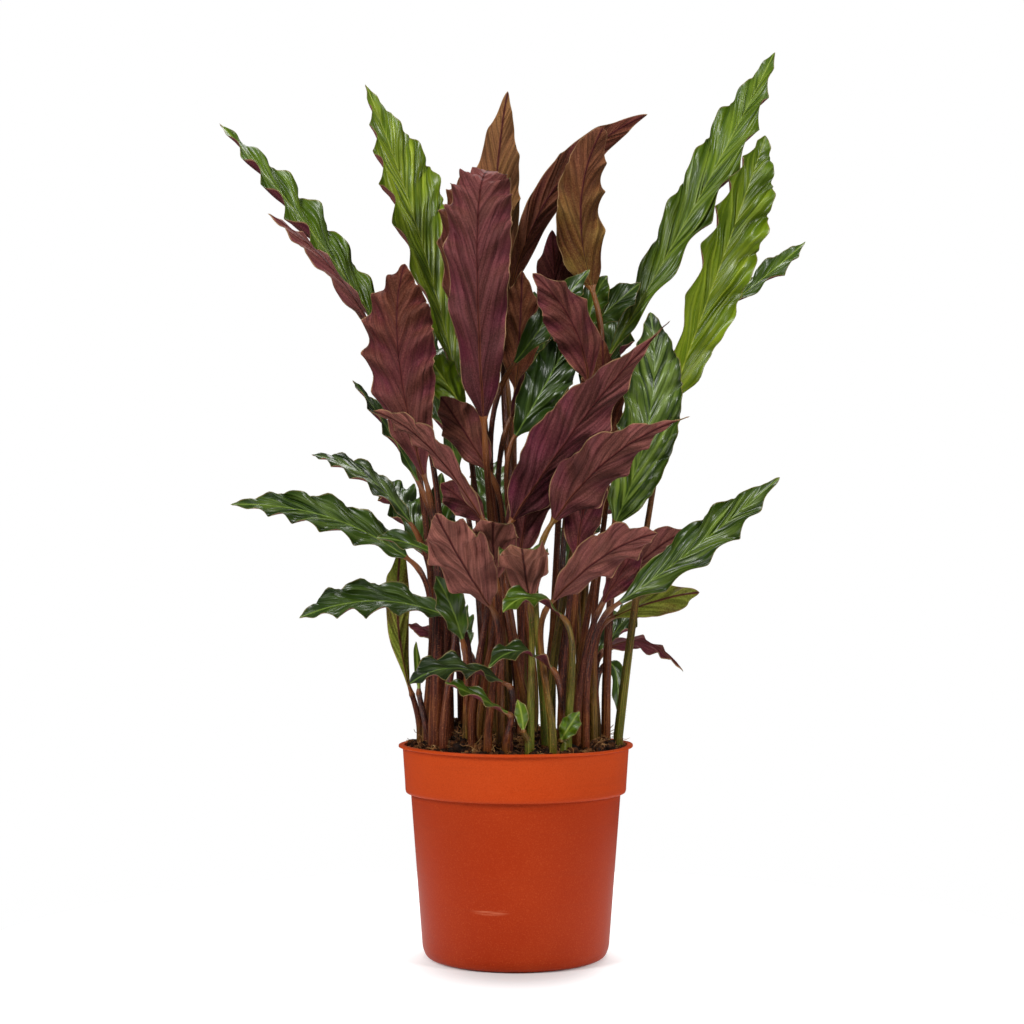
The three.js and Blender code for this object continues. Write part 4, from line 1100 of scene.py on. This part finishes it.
# Crumbs: lumps of 20 faces, pressed out of round and roughened after they are made real.
crumb_sizes = {"Density": 300000.0, "Size": 1.3 * MM, "Roughness": 2.8 * MM, "Seed": 5}
tree, given = build_tree("peat_crumbs", crumb_sizes)
lump = add(tree, "GeometryNodeMeshIcoSphere", {"Radius": given.outputs["Size"], "Subdivisions": 1})
spread = random_value(tree, given, 0.0, 1.0, 1)
grow = maths(tree, "MULTIPLY_ADD", maths(tree, "POWER", spread, 6.0), 2.6, 0.5)
flat = random_value(tree, given, (0.7, 0.7, 0.5), (1.5, 1.2, 1.0), 2)
shape = add(tree, "ShaderNodeVectorMath", {0: flat, 1: grow}, operation="MULTIPLY").outputs[0]
tumble = random_value(tree, given, (-3.1,) * 3, (3.1,) * 3, 3)
stand = scattered(tree, given, lump.outputs["Mesh"], shape, tumble)
moved = shaken(tree, stand, given.outputs["Roughness"], 700.0, 2.0, (0.5, 0.5, 0.5))
close_tree(tree, moved, crumb_skin)
bed = mesh_object("crumb_bed", bed_points, bed_faces)
crumbs = grown("peat_crumbs", bed, tree, crumb_sizes, crumb_skin)
smoothed(crumbs.data)
settle(crumbs, CRUMB_POINTS)
finished(crumbs, "peat")

# Fibres: short threads that lie about on the peat, each bent by one slow noise.
fibre_sizes = {"Density": 28000.0, "Length": 13 * MM, "Thickness": 0.26 * MM, "Bend": 14 * MM, "Seed": 8}
tree, given = build_tree("coir_fibres", fibre_sizes)
far_end = add(tree, "ShaderNodeCombineXYZ", {"X": given.outputs["Length"]})
thread_line = add(tree, "GeometryNodeCurvePrimitiveLine", {"End": far_end.outputs[0]})
fine_line = add(tree, "GeometryNodeResampleCurve", {"Curve": thread_line.outputs[0], "Count": FIBRE_STEPS})
lie = random_value(tree, given, (0, -0.5, -3.1), (0, 0.12, 3.1), 1)
size = random_value(tree, given, 0.35, 1.3, 2)
stand = scattered(tree, given, fine_line.outputs[0], size, lie)
moved = shaken(tree, stand, given.outputs["Bend"], 130.0, 1.0, (0.5, 0.5, 0.42))
around = {"Resolution": FIBRE_SIDES, "Radius": given.outputs["Thickness"]}
ring = add(tree, "GeometryNodeCurvePrimitiveCircle", around)
drawn = {"Curve": moved, "Profile Curve": ring.outputs[0], "Fill Caps": True}
tube = add(tree, "GeometryNodeCurveToMesh", drawn)
close_tree(tree, tube.outputs[0], fibre_skin)
fibres = grown("coir_fibres", bed, tree, fibre_sizes, fibre_skin)
bpy.data.objects.remove(bed)
settle(fibres, FIBRE_STEPS * FIBRE_SIDES)
finished(fibres, "peat")

# Pot: thin-walled, with a rolled lip, a stepped collar and drain holes in its floor.
POT_SIDES = 160
LIP_FOOT, LIP_WARP = 150, 0.3
CREASE_ANGLE = 38
DRAIN_HOLES, DRAIN_CIRCLE, DRAIN_RADIUS, DRAIN_SIDES = 8, 46, 5, 24
corners = [(0.0, 0.0), (62.0, 0.0), (66.4, 1.6), (69.0, 7.5), (77.6, 118.4), (77.8, 122.2), (81.3, 121.7)]
corners += [(81.9, 123.4), (82.3, 131.0), (84.0, 155.0), (87.0, 155.2), (87.0, 157.0), (82.7, 157.0)]
corners += [(80.9, 131.4), (80.3, 127.6), (79.4, 124.9), (77.0, 121.6), (76.3, 117.4)]
corners += [(67.7, 7.9), (64.6, 3.0), (61.0, 1.6), (0.0, 1.6)]
radii = [1.0, 2.5, 5.0, 2.0, 0.5, 0.5, 0.8, 3.0, 0.4, 0.5, 0.8, 0.5, 1, 1, 1, 1, 1, 3, 2, 1]
points, faces = spun(rounded(corners, radii), POT_SIDES)
turn = np.arctan2(points[:, 1], points[:, 0])
lip = np.clip((points[:, 2] - LIP_FOOT) / 7, 0, 1)
points[:, 2] += lip * LIP_WARP * (np.sin(2 * turn + 0.7) + 0.6 * np.sin(5 * turn + 2.0)) - 0.1 * lip
pot = mesh_object("nursery_pot", points, faces)
hole_profile = [(0, -4), (DRAIN_RADIUS, -4), (DRAIN_RADIUS, 6), (0, 6)]
hole_points, hole_faces = spun(hole_profile, DRAIN_SIDES)
holes = []
for k in range(DRAIN_HOLES):
    angle = 2 * math.pi * (k + 0.5) / DRAIN_HOLES
    shift = [DRAIN_CIRCLE * math.cos(angle), DRAIN_CIRCLE * math.sin(angle), 0]
    start = len(holes) * len(hole_points)
    holes.append((hole_points + shift, [tuple(i + start for i in f) for f in hole_faces]))
punch_faces = [face for hole in holes for face in hole[1]]
punch = mesh_object("drain_punch", np.concatenate([hole[0] for hole in holes]), punch_faces)
cut = pot.modifiers.new("drain_holes", "BOOLEAN")
cut.operation, cut.object, cut.solver = "DIFFERENCE", punch, "EXACT"
ready = pot.evaluated_get(bpy.context.evaluated_depsgraph_get())
mesh = bpy.data.meshes.new_from_object(ready)
pot.modifiers.remove(cut)
pot.data = mesh
bpy.data.objects.remove(punch)
smoothed(mesh)
mesh.set_sharp_from_angle(angle=math.radians(CREASE_ANGLE))
mesh.materials.clear()
mesh.materials.append(pot_skin)
finished(pot, "pot_plastic", "pot")

# Stage: a white floor that glows, its glow dimmed in an oval round the foot as a painted contact
# shadow, and a white room.
floor_skin, tree, shader = new_material("studio_floor_white")
feed(tree, shader, {
    "Base Color": colour("#e6e6e6"), "Roughness": 0.9, "Specular IOR Level": 0.0,
    "Emission Color": colour("#ffffff"),
})
# The painted contact shadow: half its width and depth, and how far forward it lies, in metres.
SHADE_WIDE, SHADE_DEEP, SHADE_FORWARD = 0.084, 0.110, 0.025
FLOOR_LIGHT = 0.6
FLOOR_RADIUS, FLOOR_SIDES = 420, 96
oval = {"Location": (0.0, SHADE_FORWARD / SHADE_DEEP, 0.0), "Scale": (1 / SHADE_WIDE, 1 / SHADE_DEEP, 0.0)}
oval["Vector"] = add(tree, "ShaderNodeTexCoord").outputs["Object"]
foot = add(tree, "ShaderNodeMapping", oval)
far = add(tree, "ShaderNodeVectorMath", {0: foot.outputs["Vector"]}, operation="LENGTH").outputs["Value"]
lit = maths(tree, "MULTIPLY", between(tree, far, 0.35, 1.1), FLOOR_LIGHT)
feed(tree, shader, {"Emission Strength": lit})
turns = [math.tau * k / FLOOR_SIDES for k in range(FLOOR_SIDES)]
disc = [(FLOOR_RADIUS * math.cos(a), FLOOR_RADIUS * math.sin(a), 0.0) for a in turns]
floor = mesh_object("studio_floor", disc, [tuple(range(FLOOR_SIDES))], floor_skin)
floor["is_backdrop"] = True

world = bpy.data.worlds.new("studio_room")
bpy.context.scene.world = world
world.use_nodes = True
room = world.node_tree
back = room.nodes["Background"]
path = add(room, "ShaderNodeLightPath")
# The room shows white to the camera and lights the plant only a little.
ROOM_LIGHT = 0.12
levels = {"Value": path.outputs["Is Camera Ray"], "To Min": ROOM_LIGHT, "To Max": 1.0}
strength = add(room, "ShaderNodeMapRange", levels)
feed(room, back, {"Color": colour("#ffffff"), "Strength": strength.outputs[0]})


def softbox(name, place, aim, width, height, power):
    """A soft rectangular light that faces a point, in metres."""
    lamp = bpy.data.lights.new(name, "AREA")
    lamp.shape, lamp.size, lamp.size_y, lamp.energy = "RECTANGLE", width, height, power
    made = put(name, lamp)
    made.location = place
    direction = np.array(aim, float) - np.array(place, float)
    flat = math.hypot(direction[0], direction[1])
    heading = math.atan2(direction[1], direction[0]) - math.pi / 2
    made.rotation_euler = (math.atan2(flat, -direction[2]), 0.0, heading)


softbox("key_left", (-1.6, -1.4, 1.6), (0, 0, 0.4), 0.7, 1.1, 40)
softbox("fill_right", (1.7, -1.4, 1.3), (0, 0, 0.4), 0.5, 0.9, 25)
softbox("front_high", (0.1, -2.3, 2.2), (0, 0, 0.3), 0.9, 0.5, 11)
softbox("top_back", (0.2, 0.9, 2.0), (0, 0, 0.4), 1.0, 0.7, 20)

lens = bpy.data.cameras.new("camera")
lens.sensor_width, lens.lens = 36.0, CAMERA_LENS
lens.clip_start, lens.clip_end = 0.05, 200.0
camera = put("camera", lens)
camera.location = [c * MM for c in CAMERA_PLACE]
camera.rotation_euler = (math.radians(90 + CAMERA_PITCH), 0.0, 0.0)
bpy.context.scene.camera = camera
bpy.context.scene.view_settings.view_transform = "Standard"

low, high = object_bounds()
